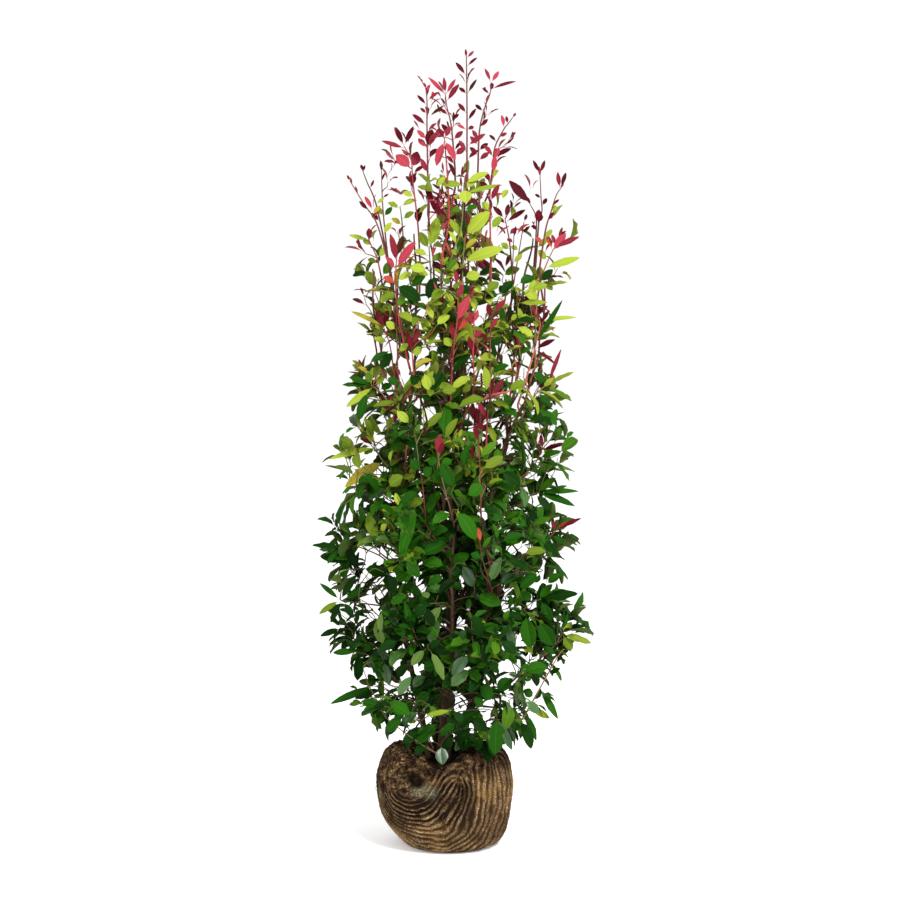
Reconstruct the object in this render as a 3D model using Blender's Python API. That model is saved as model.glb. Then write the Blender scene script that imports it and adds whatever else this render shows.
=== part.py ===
"""Flowering evergreen shrub with red young shoots, lifted with a wrapped root ball.

One upright trunk and four side stems rise from the hollow in the top of the
ball. Boughs fork from the trunk. Masses of foliage stand in tiers round the
stems, and slender sprays carry the crown up to its tip. Metres, +Z up, the
origin is the centre of the ball's flat underside. -Y is the front.
"""

import math

import bmesh
import bpy
from mathutils import Vector, noise
from mathutils.bvhtree import BVHTree

# ---------------------------------------------------------------- dimensions
TOP = 1.985  # height of the highest tip above the ground

# Root ball: a wrapped ball, hollow on top where the stems come out
BALL_X = -0.013  # the ball's middle is a little left of its foot
BALL_RADIUS = 0.169
FOOT_RADIUS = 0.102
RIM_RADIUS = 0.100
RIM_Z = 0.266
FLOOR_RADIUS = 0.066
FLOOR_Z = 0.214
NOTCH_DEPTH = 0.050  # the rim dips at the front
NOTCH_AZIMUTH = 262.0
NOTCH_WIDTH = 30.0
BACK_DIP = 0.024  # and is lower at the back
BACK_AZIMUTH = 90.0
BACK_WIDTH = 64.0
BALL_LUMPS = 0.005

# Trunk
TRUNK_X = -0.018
TRUNK_LEAN = 0.056
TRUNK_BOTTOM_D = 0.034
TRUNK_TOP_D = 0.006
TRUNK_END_Z = 1.655
FLARE = 1.30
CORE_RADIUS = 0.064  # room kept clear round the trunk for the stems

GAP = 0.006  # between one mass and the next
TOUCH = 0.0008  # between a limb and what it meets

# Tiers of foliage: name, height of the middle, half height, and each mass's
# azimuth in degrees and reach from the middle of the shrub
TIERS = (
    ("skirt", 0.385, 0.110, ((343, 0.275), (100, 0.225), (214, 0.275))),
    ("lower", 0.560, 0.125, ((2, 0.352), (60, 0.285), (122, 0.285), (181, 0.325), (240, 0.275), (301, 0.290))),
    ("middle", 0.755, 0.125, ((20, 0.325), (95, 0.280), (171, 0.345), (236, 0.295), (312, 0.320))),
    ("upper", 0.955, 0.125, ((352, 0.325), (62, 0.280), (131, 0.290), (197, 0.315), (276, 0.285))),
    ("shoulder", 1.145, 0.118, ((24, 0.295), (100, 0.250), (171, 0.280), (238, 0.265), (318, 0.290))),
    ("neck", 1.315, 0.100, ((2, 0.270), (86, 0.220), (178, 0.240), (268, 0.220))),
)

# Slender sprays of the crown's top: name, tip (x, z), foot (x, z), depth, half
# width, and how much wider they are at the foot than at the tip
SPRAYS = (
    ("leader", (0.039, TOP), (0.038, TRUNK_END_Z + 0.002), 0.004, 0.036, 0.30),
    ("left_plume", (-0.063, 1.900), (-0.055, 1.665), -0.030, 0.034, -0.10),
    ("centre_plume", (-0.014, 1.918), (-0.008, 1.700), 0.055, 0.036, -0.10),
    ("right_plume", (0.110, 1.935), (0.074, 1.715), 0.040, 0.040, -0.25),
    ("right_twig", (0.158, 1.828), (0.112, 1.690), -0.035, 0.026, 0.00),
    ("red_spray", (0.112, 1.748), (0.104, 1.425), -0.055, 0.036, 0.00),
    ("left_fan", (-0.138, 1.795), (-0.090, 1.500), 0.015, 0.046, -0.30),
    ("far_left_twig", (-0.248, 1.692), (-0.180, 1.520), -0.020, 0.034, 0.10),
    ("left_spray", (-0.206, 1.560), (-0.188, 1.310), 0.060, 0.044, -0.10),
    ("coral_spray", (-0.122, 1.540), (-0.116, 1.360), -0.085, 0.042, -0.20),
    ("right_mast", (0.226, 1.712), (0.208, 1.490), 0.030, 0.030, 0.10),
    ("far_right_twig", (0.280, 1.684), (0.250, 1.530), -0.030, 0.026, 0.00),
    ("maroon_spray", (0.160, 1.650), (0.146, 1.390), 0.085, 0.044, -0.20),
    ("right_spray", (0.278, 1.545), (0.236, 1.340), -0.015, 0.050, -0.15),
    ("heart_front", (-0.012, 1.715), (0.004, 1.385), -0.066, 0.078, -0.08),
    ("heart_back", (0.036, 1.700), (0.030, 1.385), 0.080, 0.080, -0.08),
)

# Stems from the ball: name, where they start (azimuth, radius), end (x, y, z), diameter
STEMS = (
    ("stem_right", 8.0, 0.043, (0.095, -0.020, 0.700), 0.017),
    ("stem_back", 97.0, 0.040, (0.020, 0.130, 0.720), 0.015),
    ("stem_left", 186.0, 0.043, (-0.125, 0.010, 0.700), 0.016),
    ("stem_front", 284.0, 0.040, (0.005, -0.125, 0.640), 0.013),
)

# Boughs from the trunk: name, fork height, azimuth, reach, rise, diameter
BOUGHS = (
    ("bough_low_left", 0.420, 222.0, 0.150, 0.190, 0.012),
    ("bough_low_right", 0.450, 318.0, 0.150, 0.200, 0.011),
    ("bough_low_back", 0.480, 135.0, 0.150, 0.200, 0.011),
    ("bough_mid_right", 0.600, 34.0, 0.160, 0.220, 0.011),
    ("bough_mid_left", 0.660, 150.0, 0.160, 0.220, 0.010),
    ("bough_mid_front", 0.720, 252.0, 0.150, 0.220, 0.010),
    ("bough_high_back", 0.840, 76.0, 0.150, 0.240, 0.009),
    ("bough_high_right", 0.920, 352.0, 0.160, 0.240, 0.009),
)

# Boughs of the open top: name, where it comes out of a neck mass (x, y, z), the spray it bears, diameter
TOP_BOUGHS = (
    ("bough_top_left", (-0.082, 0.012, 1.403), "left_fan", 0.0060),
    ("bough_top_right", (0.184, 0.018, 1.403), "right_mast", 0.0060),
)


# ------------------------------------------------------------------ helpers
def smooth(t):
    t = min(max(t, 0.0), 1.0)
    return t * t * (3 - 2 * t)


def around(azimuth):
    a = math.radians(azimuth)
    return Vector((math.cos(a), math.sin(a), 0.0))


def turn_between(a, b):
    """The angle from b to a in degrees, from -180 to 180."""
    return (a - b + 180.0) % 360.0 - 180.0


def material(name, colour, roughness, metallic=0.0):
    made = bpy.data.materials.new(name)
    made.use_nodes = True
    shader = made.node_tree.nodes["Principled BSDF"]
    shader.inputs["Base Color"].default_value = (*colour, 1.0)
    shader.inputs["Roughness"].default_value = roughness
    shader.inputs["Metallic"].default_value = metallic
    made.diffuse_color = (*colour, 1.0)
    return made


def catmull(points, t):
    """The point at t, from 0 to 1, on a smooth line through evenly weighted points."""
    n = len(points) - 1
    i = min(int(t * n), n - 1)
    u = t * n - i
    a, b, c, d = (points[min(max(i + k, 0), n)] for k in (-1, 0, 1, 2))
    return tuple(
        0.5
        * (
            2 * q
            + (r - p) * u
            + (2 * p - 5 * q + 4 * r - s) * u * u
            + (3 * q - p - 3 * r + s) * u**3
        )
        for p, q, r, s in zip(a, b, c, d, strict=True)
    )


# ---------------------------------------------------------------- root ball
BALL_PROFILE = (
    (FLOOR_RADIUS, FLOOR_Z),
    (0.5 * (FLOOR_RADIUS + RIM_RADIUS), 0.5 * (FLOOR_Z + RIM_Z) + 0.006),
    (RIM_RADIUS, RIM_Z),
    (0.135, 0.256),
    (0.160, 0.218),
    (BALL_RADIUS, 0.165),
    (0.167, 0.110),
    (0.153, 0.056),
    (0.130, 0.018),
    (FOOT_RADIUS, 0.0),
)


def ball_point(azimuth, t):
    """A point of the ball's skin. t runs from 0 at the floor of the hollow, over the rim and down the side, to 1 at the edge of the foot."""
    radius, z = catmull(BALL_PROFILE, t)
    high = smooth((z - 0.13) / 0.10) * smooth((radius - FLOOR_RADIUS) / 0.025)
    dip = math.exp(-((turn_between(azimuth, NOTCH_AZIMUTH) / NOTCH_WIDTH) ** 2))
    z -= NOTCH_DEPTH * dip * high
    z -= BACK_DIP * math.exp(-((turn_between(azimuth, BACK_AZIMUTH) / BACK_WIDTH) ** 2)) * high
    free = smooth(z / 0.05) * smooth((radius - FLOOR_RADIUS) / 0.02)
    out = around(azimuth)
    radius -= 0.006 * (1 - smooth(z / 0.12)) * smooth(z / 0.02) * max(0.0, -out.x)
    lump = noise.noise(Vector((out.x * 2.1, out.y * 2.1, z * 14.0)) + Vector((3.7, 0, 0)))
    radius += BALL_LUMPS * lump * free
    shift = BALL_X * smooth(z / 0.08)
    return Vector((shift + out.x * radius, out.y * radius, max(z, 0.0)))


def make_ball(rings=18, sides=34):
    """A sphere whose rings are moved to the ball's profile. The poles become the flat floor and the flat foot."""
    bm = bmesh.new()
    bmesh.ops.create_uvsphere(bm, u_segments=sides, v_segments=rings + 1, radius=1.0)
    for vertex in bm.verts:
        polar = math.acos(min(max(vertex.co.z, -1.0), 1.0)) / math.pi
        ring = round(polar * (rings + 1))
        azimuth = math.degrees(math.atan2(vertex.co.y, vertex.co.x)) % 360.0
        if ring == 0:
            vertex.co = Vector((BALL_X, 0.0, FLOOR_Z))
        elif ring == rings + 1:
            vertex.co = Vector((0.0, 0.0, 0.0))
        else:
            vertex.co = ball_point(azimuth, (ring - 1) / (rings - 1))
    bmesh.ops.recalc_face_normals(bm, faces=bm.faces)
    return bm


# -------------------------------------------------------------------- limbs
def trunk_axis(z):
    s = (z - FLOOR_Z) / (TOP - FLOOR_Z)
    s = min(max(s, 0.0), 1.0)
    x = TRUNK_X + TRUNK_LEAN * (1 - (1 - s) ** 1.6)
    return Vector((x + 0.003 * math.sin(9 * s), 0.005 * math.sin(7 * s + 0.6), z))


def trunk_radius(z):
    s = (z - FLOOR_Z) / (TRUNK_END_Z - FLOOR_Z)
    flare = 1 + (FLARE - 1) * math.exp(-(z - FLOOR_Z) / 0.030)
    taper = TRUNK_BOTTOM_D + (TRUNK_TOP_D - TRUNK_BOTTOM_D) * min(s, 1.0) ** 0.50
    return 0.5 * taper * flare


def stem_path(azimuth, radius, end, steps=60):
    """From the floor of the hollow, straight up at first and then bending out to its end."""
    start = Vector((BALL_X, 0, FLOOR_Z)) + around(azimuth) * radius
    end = Vector(end)
    rise = end.z - start.z
    first = start + Vector((0, 0, 0.30 * rise)) + around(azimuth) * 0.012
    second = Vector((end.x, end.y, end.z - 0.45 * rise))
    return [bezier(start, first, second, end, k / steps) for k in range(steps + 1)]


def top_bough_path(start, spray, steps=60):
    """From the top of a neck mass, where the bough comes out, to the foot of its spray."""
    tip, foot, depth = next(row[1:4] for row in SPRAYS if row[0] == spray)
    start = Vector(start)
    end = Vector((foot[0], depth, foot[1] + 0.03))
    rise = end.z - start.z
    first = start + Vector((0, 0, 0.35 * rise))
    second = end - Vector((0, 0, 0.35 * rise))
    return [bezier(start, first, second, end, k / steps) for k in range(steps + 1)]


def bough_path(fork, azimuth, reach, rise, diameter, steps=50):
    """From the side of the trunk, out and up, steeper towards its end."""
    out = around(azimuth)
    off = trunk_radius(fork) + 0.5 * diameter + TOUCH
    start = trunk_axis(fork) + out * off
    first = start + out * (0.35 * reach) + Vector((0, 0, 0.40 * rise))
    second = start + out * (0.75 * reach) + Vector((0, 0, 0.62 * rise))
    end = start + out * reach + Vector((0, 0, rise))
    return [bezier(start, first, second, end, k / steps) for k in range(steps + 1)]


def bezier(a, b, c, d, t):
    u = 1 - t
    return a * u**3 + b * (3 * u * u * t) + c * (3 * u * t * t) + d * t**3


def limb(name, path, radii, finish, sides_level=2):
    """One tapering limb: a poly line with a round section that follows its own radii."""
    curve = bpy.data.curves.new(name, "CURVE")
    curve.dimensions = "3D"
    curve.bevel_depth = 1.0
    curve.bevel_resolution = sides_level
    curve.use_fill_caps = True
    spline = curve.splines.new("POLY")
    spline.points.add(len(path) - 1)
    for point, place, radius in zip(spline.points, path, radii, strict=True):
        point.co = (*place, 1.0)
        point.radius = radius
    made = bpy.data.objects.new(name, curve)
    curve.materials.append(finish)
    return made


def reach_into(path, radius_at, masses):
    """How many points of the path lie clear of every mass."""
    for k, place in enumerate(path):
        room = radius_at(k / (len(path) - 1)) + TOUCH
        for tree, low, high in masses:
            if any(
                place[i] < low[i] - room or place[i] > high[i] + room for i in range(3)
            ):
                continue
            found = tree.find_nearest(place, room)
            if found[0] is not None:
                return k
    return len(path)


def thinned(path, count):
    """count points spread evenly along a path, with both of its ends."""
    last = len(path) - 1
    return [path[round(k * last / (count - 1))] for k in range(count)]


# ------------------------------------------------------------------- masses
def tier_masses():
    """(name, middle, three half axes, narrowing towards the top) for each mass of each tier."""
    found = []
    for tier, z, half_height, members in TIERS:
        count = len(members)
        for k, (azimuth, reach) in enumerate(members):
            out, side = around(azimuth), around(azimuth + 90.0)
            inner = 0.9 * CORE_RADIUS
            half = 0.5 * (reach - inner)
            middle = Vector((0.6 * trunk_axis(z).x, 0.0, z)) + out * (inner + half)
            middle.z += 0.020 * math.sin(2.3 * k + z * 9.0)
            wide = (inner + half) * math.sin(math.pi / max(count, 4)) * 1.10
            axes = (
                out * half + Vector((0, 0, 0.22 * half)),
                side * wide,
                Vector((0, 0, half_height)),
            )
            found.append((f"mass_{tier}_{k + 1}", middle, axes, 0.10))
    return found


def spray_masses():
    found = []
    for name, tip, foot, depth, half, narrowing in SPRAYS:
        top, bottom = Vector((tip[0], depth, tip[1])), Vector((foot[0], depth, foot[1]))
        along = 0.5 * (top - bottom)
        middle = 0.5 * (top + bottom)
        axes = (Vector((half, 0, 0)), Vector((0, half, 0)), along)
        found.append((f"spray_{name}", middle, axes, narrowing))
    return found


def extent_along(axes, direction):
    return math.sqrt(sum(axis.dot(direction) ** 2 for axis in axes))


def walls(index, everything):
    """The planes that keep a mass out of its neighbours and clear of the trunk: (normal, how far a point may lie along it)."""
    name, middle, axes, _ = everything[index]
    found = []
    for j, (its_name, other, other_axes, _) in enumerate(everything):
        if j == index:
            continue
        towards = other - middle
        tall = axes[2].z + other_axes[2].z
        if name.startswith("spray_") and its_name.startswith("spray_") and abs(towards.z) < 0.55 * tall:
            towards.z = 0.0  # two sprays side by side part along an upright plane
        distance = towards.length
        towards.normalize()
        mine, its = extent_along(axes, towards), extent_along(other_axes, towards)
        if 1.25 * (mine + its) + GAP < distance:
            continue
        share = mine / (mine + its)
        found.append((towards, middle.dot(towards) + distance * share - 0.5 * GAP))
    if middle.z < 0.5:
        found.append((Vector((0, 0, -1)), -(RIM_Z + GAP)))
    axis = trunk_axis(middle.z)
    inward = Vector((axis.x - middle.x, axis.y - middle.y, 0.0))
    low = middle.z - extent_along(axes, Vector((0, 0, 1)))
    if low < TRUNK_END_Z + 0.01 and inward.length > 0.02:
        inward.normalize()
        tier = everything[index][0].startswith("mass_")
        keep = CORE_RADIUS if tier else trunk_radius(max(low, FLOOR_Z)) + 0.004
        if tier and middle.z > 1.05:
            keep = 0.5 * CORE_RADIUS
        found.append((inward, axis.dot(inward) - keep))
    return found


def make_mass(index, everything):
    """A lumpy closed body: a sphere drawn out along its axes, roughened, and held inside its walls."""
    name, middle, axes, narrowing = everything[index]
    bounds = walls(index, everything)
    bm = bmesh.new()
    if name.startswith("mass_"):
        bmesh.ops.create_uvsphere(bm, u_segments=12, v_segments=7, radius=1.0)
    else:
        bmesh.ops.create_icosphere(bm, subdivisions=2, radius=1.0)
    seed = Vector((1.7 * index, 0.9 * index, 2.3))
    for vertex in bm.verts:
        d = vertex.co.copy()
        told = max(d.x, 0.0) ** 3 if name.startswith("mass_") else d.z**4
        lumps = 0.30 * noise.noise(d * 1.7 + seed) + 0.16 * noise.noise(d * 3.9 - seed)
        rough = 1 + lumps * (1 - told)  # the furthest point stays at its named reach
        side = 1 - narrowing * d.z
        offset = (axes[0] * (d.x * side) + axes[1] * (d.y * side) + axes[2] * d.z) * rough
        scale = 1.0
        for normal, limit in bounds:
            lean = offset.dot(normal)
            room = limit - middle.dot(normal)
            if lean > 1e-9 and lean * scale > room:
                scale = max(room, 0.002) / lean
        vertex.co = middle + offset * scale
    return name, bm


# -------------------------------------------------------------------- build
def main():
    for old in list(bpy.data.objects):
        bpy.data.objects.remove(old, do_unlink=True)
    plant = bpy.data.collections.new("photinia_shrub")
    bpy.context.scene.collection.children.link(plant)

    jute = material("jute_wrap", (0.23, 0.155, 0.085), 0.95)
    bark = material("bark", (0.17, 0.125, 0.085), 0.85)
    leaf_dark = material("foliage_dark", (0.020, 0.085, 0.012), 0.38)
    leaf_light = material("foliage_light", (0.24, 0.33, 0.045), 0.42)
    leaf_red = material("foliage_red", (0.33, 0.035, 0.045), 0.40)

    def add(name, bm, finish):
        mesh = bpy.data.meshes.new(name)
        bm.to_mesh(mesh)
        bm.free()
        mesh.materials.append(finish)
        mesh.shade_smooth()
        made = bpy.data.objects.new(name, mesh)
        plant.objects.link(made)
        return made

    add("root_ball", make_ball(), jute)

    everything = tier_masses() + spray_masses()
    trees = []
    for index, (name, middle, _, _) in enumerate(everything):
        name, bm = make_mass(index, everything)
        low = [min(v.co[i] for v in bm.verts) for i in range(3)]
        high = [max(v.co[i] for v in bm.verts) for i in range(3)]
        trees.append((BVHTree.FromBMesh(bm), low, high))
        if name.startswith("spray_") and middle.z > 1.6:
            finish = leaf_red
        elif middle.z > 1.2:
            finish = leaf_light
        else:
            finish = leaf_dark
        add(name, bm, finish)

    trunk_steps = 26
    heights = [
        FLOOR_Z + TOUCH + (TRUNK_END_Z - FLOOR_Z) * (k / trunk_steps) ** 1.25
        for k in range(trunk_steps + 1)
    ]
    heights.insert(1, FLOOR_Z + TOUCH + 0.006)
    path = [trunk_axis(z) for z in heights]
    path[0].x, path[0].y = path[1].x, path[1].y
    plant.objects.link(limb("trunk", path, [trunk_radius(z) for z in heights], bark, 3))

    limbs = [
        (name, stem_path(azimuth, radius, end), diameter, True)
        for name, azimuth, radius, end, diameter in STEMS
    ]
    limbs += [
        (name, bough_path(fork, azimuth, reach, rise, diameter), diameter, False)
        for name, fork, azimuth, reach, rise, diameter in BOUGHS
    ]
    limbs += [
        (name, top_bough_path(start, spray), diameter, False)
        for name, start, spray, diameter in TOP_BOUGHS
    ]
    for name, path, diameter, from_ball in limbs:

        def radius_at(t, diameter=diameter, from_ball=from_ball):
            flare = 1 + (0.25 * math.exp(-t * 18) if from_ball else 0.0)
            return 0.5 * diameter * (1 - 0.55 * t) * flare

        count = reach_into(path, radius_at, trees)
        kept = path[: max(count, 4)]
        kept = thinned(kept, min(12, len(kept)))
        share = (max(count, 4) - 1) / (len(path) - 1)
        radii = [radius_at(share * k / (len(kept) - 1)) for k in range(len(kept))]
        if from_ball:
            kept[0] = kept[0] + Vector((0, 0, TOUCH))
            kept[1].x, kept[1].y = kept[0].x, kept[0].y
        plant.objects.link(limb(name, kept, radii, bark, 2))


main()
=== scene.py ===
# The looks of a young evergreen shrub on a wrapped root ball: bark, canes, shoots and leaves grown on from the limbs
# of the frame by a seeded branching rule, and the ribbed wrap of the ball. Metres, +Z up, the camera looks along +Y.
import math
import random

import bpy
import numpy as np
from mathutils import Matrix, Vector, noise
from mathutils.bvhtree import BVHTree


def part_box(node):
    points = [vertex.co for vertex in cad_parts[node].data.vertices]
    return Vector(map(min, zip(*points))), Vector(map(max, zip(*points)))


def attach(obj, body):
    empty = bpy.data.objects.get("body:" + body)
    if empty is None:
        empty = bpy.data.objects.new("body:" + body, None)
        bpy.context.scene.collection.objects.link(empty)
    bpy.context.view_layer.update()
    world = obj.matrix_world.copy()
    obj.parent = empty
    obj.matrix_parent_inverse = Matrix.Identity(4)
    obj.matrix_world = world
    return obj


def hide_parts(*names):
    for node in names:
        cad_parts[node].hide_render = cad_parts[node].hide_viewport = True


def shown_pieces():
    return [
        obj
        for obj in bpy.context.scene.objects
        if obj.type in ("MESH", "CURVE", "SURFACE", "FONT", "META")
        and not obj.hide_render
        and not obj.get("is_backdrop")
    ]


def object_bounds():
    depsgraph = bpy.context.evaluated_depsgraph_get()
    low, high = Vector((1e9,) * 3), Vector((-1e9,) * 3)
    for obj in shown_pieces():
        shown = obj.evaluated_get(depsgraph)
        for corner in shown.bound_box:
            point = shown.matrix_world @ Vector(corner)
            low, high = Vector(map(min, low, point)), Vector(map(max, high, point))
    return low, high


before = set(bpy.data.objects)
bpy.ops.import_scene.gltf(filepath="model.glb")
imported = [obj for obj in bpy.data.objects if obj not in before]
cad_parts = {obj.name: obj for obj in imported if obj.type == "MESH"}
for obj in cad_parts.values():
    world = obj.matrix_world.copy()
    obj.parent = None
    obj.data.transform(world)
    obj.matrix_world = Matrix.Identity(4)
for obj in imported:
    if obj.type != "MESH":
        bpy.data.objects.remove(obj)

CAD_LOW, CAD_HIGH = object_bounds()
SCENE = bpy.context.scene
UP = Vector((0, 0, 1))
dice = random.Random(20811)

# ------------------------------------------------------------------ camera
CAMERA = Vector((0, -4.6, 1.15))
TARGET = Vector((0, 0, 0.990))
LENS, SENSOR, SIDE = 73.6, 36.0, 900


def spot(u, v, depth):
    """The point at y = depth that shows at pixel (u, v) of a 900 x 900 picture."""
    ahead = (TARGET - CAMERA).normalized()
    right = ahead.cross(UP).normalized()
    over = right.cross(ahead)
    ray = ahead * (LENS / SENSOR * SIDE) + right * (u - SIDE / 2) + over * (SIDE / 2 - v)
    return CAMERA + ray * ((depth - CAMERA.y) / ray.y)


VIEW_AHEAD = (TARGET - CAMERA).normalized()
VIEW_RIGHT = VIEW_AHEAD.cross(UP).normalized()
VIEW_OVER = VIEW_RIGHT.cross(VIEW_AHEAD)


def on_picture(points):
    """The pixels (u, v) at which an array of points shows."""
    away = points - np.array(CAMERA)
    depth = away @ np.array(VIEW_AHEAD)
    scale = LENS / SENSOR * SIDE / depth
    return SIDE / 2 + away @ np.array(VIEW_RIGHT) * scale, SIDE / 2 - away @ np.array(VIEW_OVER) * scale


def smooth(t):
    t = min(max(t, 0.0), 1.0)
    return t * t * (3 - 2 * t)


def lerp(a, b, t):
    return a + (b - a) * t


def around(azimuth):
    a = math.radians(azimuth)
    return Vector((math.cos(a), math.sin(a), 0))


def turn_between(a, b):
    return (a - b + 180) % 360 - 180


def bezier(a, b, c, d, t):
    s = 1 - t
    return a * s**3 + b * 3 * s * s * t + c * 3 * s * t * t + d * t**3


def across(direction, hint=UP):
    """A unit vector square to a direction, as near to the hint as it goes."""
    side = hint - direction * hint.dot(direction)
    if side.length < 1e-4:
        side = Vector((1, 0, 0)) - direction * direction.x
    return side.normalized()


# ------------------------------------------------------------------ materials
def linear(rgb):
    return tuple((c / 255 / 12.92) if c / 255 <= 0.04045 else ((c / 255 + 0.055) / 1.055) ** 2.4 for c in rgb) + (1.0,)


def plain(name, rgb, rough=0.5, specular=0.4, coat=0.0, sheen=0.0):
    """A leaf or twig colour: dealt out by spray, so it is one colour over its faces."""
    m = bpy.data.materials.new(name)
    m.use_nodes = True
    b = m.node_tree.nodes["Principled BSDF"]
    b.inputs["Base Color"].default_value = linear(rgb)
    b.inputs["Roughness"].default_value = rough
    b.inputs["Specular IOR Level"].default_value = specular
    b.inputs["Coat Weight"].default_value = coat
    b.inputs["Coat Roughness"].default_value = 0.3
    b.inputs["Sheen Weight"].default_value = sheen
    return m


class Nodes:
    """A small helper for writing node materials."""

    def __init__(self, name):
        self.m = bpy.data.materials.new(name)
        self.m.use_nodes = True
        self.t = self.m.node_tree
        self.b = self.t.nodes["Principled BSDF"]

    def add(self, kind, **values):
        n = self.t.nodes.new(kind)
        for k, v in values.items():
            setattr(n, k, v)
        return n

    def link(self, a, b):
        self.t.links.new(a, b)

    def where(self, scale=(1, 1, 1)):
        c = self.add("ShaderNodeTexCoord")
        m = self.add("ShaderNodeMapping")
        m.inputs["Scale"].default_value = scale
        self.link(c.outputs["Object"], m.inputs["Vector"])
        return m.outputs["Vector"]

    def noise(self, scale, detail=4.0, rough=0.55, vector=None, distortion=0.0):
        n = self.add("ShaderNodeTexNoise")
        n.inputs["Scale"].default_value = scale
        n.inputs["Detail"].default_value = detail
        n.inputs["Roughness"].default_value = rough
        n.inputs["Distortion"].default_value = distortion
        if vector is not None:
            self.link(vector, n.inputs["Vector"])
        return n.outputs["Fac"]

    def ramp(self, value, *stops):
        r = self.add("ShaderNodeValToRGB")
        e = r.color_ramp.elements
        while len(e) < len(stops):
            e.new(0.5)
        for i, (at, rgb) in enumerate(stops):
            e[i].position = at
            e[i].color = linear(rgb)
        self.link(value, r.inputs["Fac"])
        return r.outputs["Color"]

    def grey(self, value, *stops):
        r = self.add("ShaderNodeValToRGB")
        e = r.color_ramp.elements
        while len(e) < len(stops):
            e.new(0.5)
        for i, (at, v) in enumerate(stops):
            e[i].position = at
            e[i].color = (v, v, v, 1)
        self.link(value, r.inputs["Fac"])
        return r.outputs["Color"]

    def mix(self, a, b, fac, kind="MIX"):
        m = self.add("ShaderNodeMix", data_type="RGBA", blend_type=kind)
        for socket, value in ((m.inputs[6], a), (m.inputs[7], b)):
            if hasattr(value, "is_linked"):
                self.link(value, socket)
            else:
                socket.default_value = value
        if hasattr(fac, "is_linked"):
            self.link(fac, m.inputs[0])
        else:
            m.inputs[0].default_value = fac
        return m.outputs[2]

    def math(self, kind, a, b=0.0):
        m = self.add("ShaderNodeMath", operation=kind)
        for socket, value in ((m.inputs[0], a), (m.inputs[1], b)):
            if hasattr(value, "is_linked"):
                self.link(value, socket)
            else:
                socket.default_value = value
        return m.outputs[0]

    def attribute(self, name):
        a = self.add("ShaderNodeAttribute", attribute_name=name)
        return a.outputs["Fac"]

    def bump(self, height, distance, strength=1.0):
        b = self.add("ShaderNodeBump")
        b.inputs["Distance"].default_value = distance
        b.inputs["Strength"].default_value = strength
        self.link(height, b.inputs["Height"])
        self.link(b.outputs["Normal"], self.b.inputs["Normal"])


def bark_material():
    n = Nodes("bark")
    long_grain = n.noise(34, 6, 0.62, n.where((1, 1, 0.16)), 0.6)
    patches = n.noise(9, 4, 0.55, n.where())
    specks = n.noise(420, 2, 0.6, n.where((1, 1, 2.2)))
    wood = n.ramp(long_grain, (0.28, (22, 13, 7)), (0.45, (48, 32, 18)), (0.60, (72, 50, 29)), (0.76, (98, 72, 45)))
    moss = n.ramp(long_grain, (0.30, (30, 32, 12)), (0.55, (72, 76, 36)), (0.75, (104, 104, 60)))
    wood = n.mix(wood, moss, n.grey(patches, (0.52, 0.0), (0.68, 0.40)))
    wood = n.mix(wood, linear((158, 140, 108)), n.grey(specks, (0.66, 0.0), (0.72, 0.55)))
    n.link(wood, n.b.inputs["Base Color"])
    n.link(n.grey(long_grain, (0.3, 0.92), (0.7, 0.66)), n.b.inputs["Roughness"])
    n.b.inputs["Specular IOR Level"].default_value = 0.25
    n.bump(n.math("ADD", n.math("MULTIPLY", long_grain, 0.8), n.math("MULTIPLY", specks, 0.25)), 0.0012, 0.8)
    return n.m


def cane_material():
    n = Nodes("cane_bark")
    grain = n.noise(60, 5, 0.6, n.where((1, 1, 0.22)), 0.3)
    tone = n.noise(5.5, 3, 0.5, n.where())
    old = n.ramp(grain, (0.30, (46, 36, 22)), (0.55, (86, 74, 46)), (0.74, (118, 102, 70)))
    young = n.ramp(grain, (0.30, (58, 34, 18)), (0.55, (96, 58, 34)), (0.74, (126, 84, 54)))
    n.link(n.mix(old, young, n.grey(tone, (0.44, 0.0), (0.56, 1.0))), n.b.inputs["Base Color"])
    n.b.inputs["Roughness"].default_value = 0.62
    n.b.inputs["Specular IOR Level"].default_value = 0.3
    n.bump(grain, 0.0006, 0.7)
    return n.m


def young_material():
    """Two-year wood: red-brown and browner tan in random patches, streaked along its grain."""
    n = Nodes("young_bark")
    grain = n.noise(70, 4, 0.6, n.where((1, 1, 0.2)), 0.3)
    tone = n.noise(6.5, 3, 0.5, n.where())
    red = n.ramp(grain, (0.30, (52, 16, 12)), (0.52, (92, 34, 24)), (0.72, (132, 62, 44)))
    tan = n.ramp(grain, (0.30, (60, 40, 22)), (0.52, (104, 70, 42)), (0.72, (146, 108, 72)))
    n.link(n.mix(red, tan, n.grey(tone, (0.46, 0.0), (0.58, 1.0))), n.b.inputs["Base Color"])
    n.b.inputs["Roughness"].default_value = 0.55
    n.b.inputs["Specular IOR Level"].default_value = 0.3
    n.bump(grain, 0.0005, 0.6)
    return n.m


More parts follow.
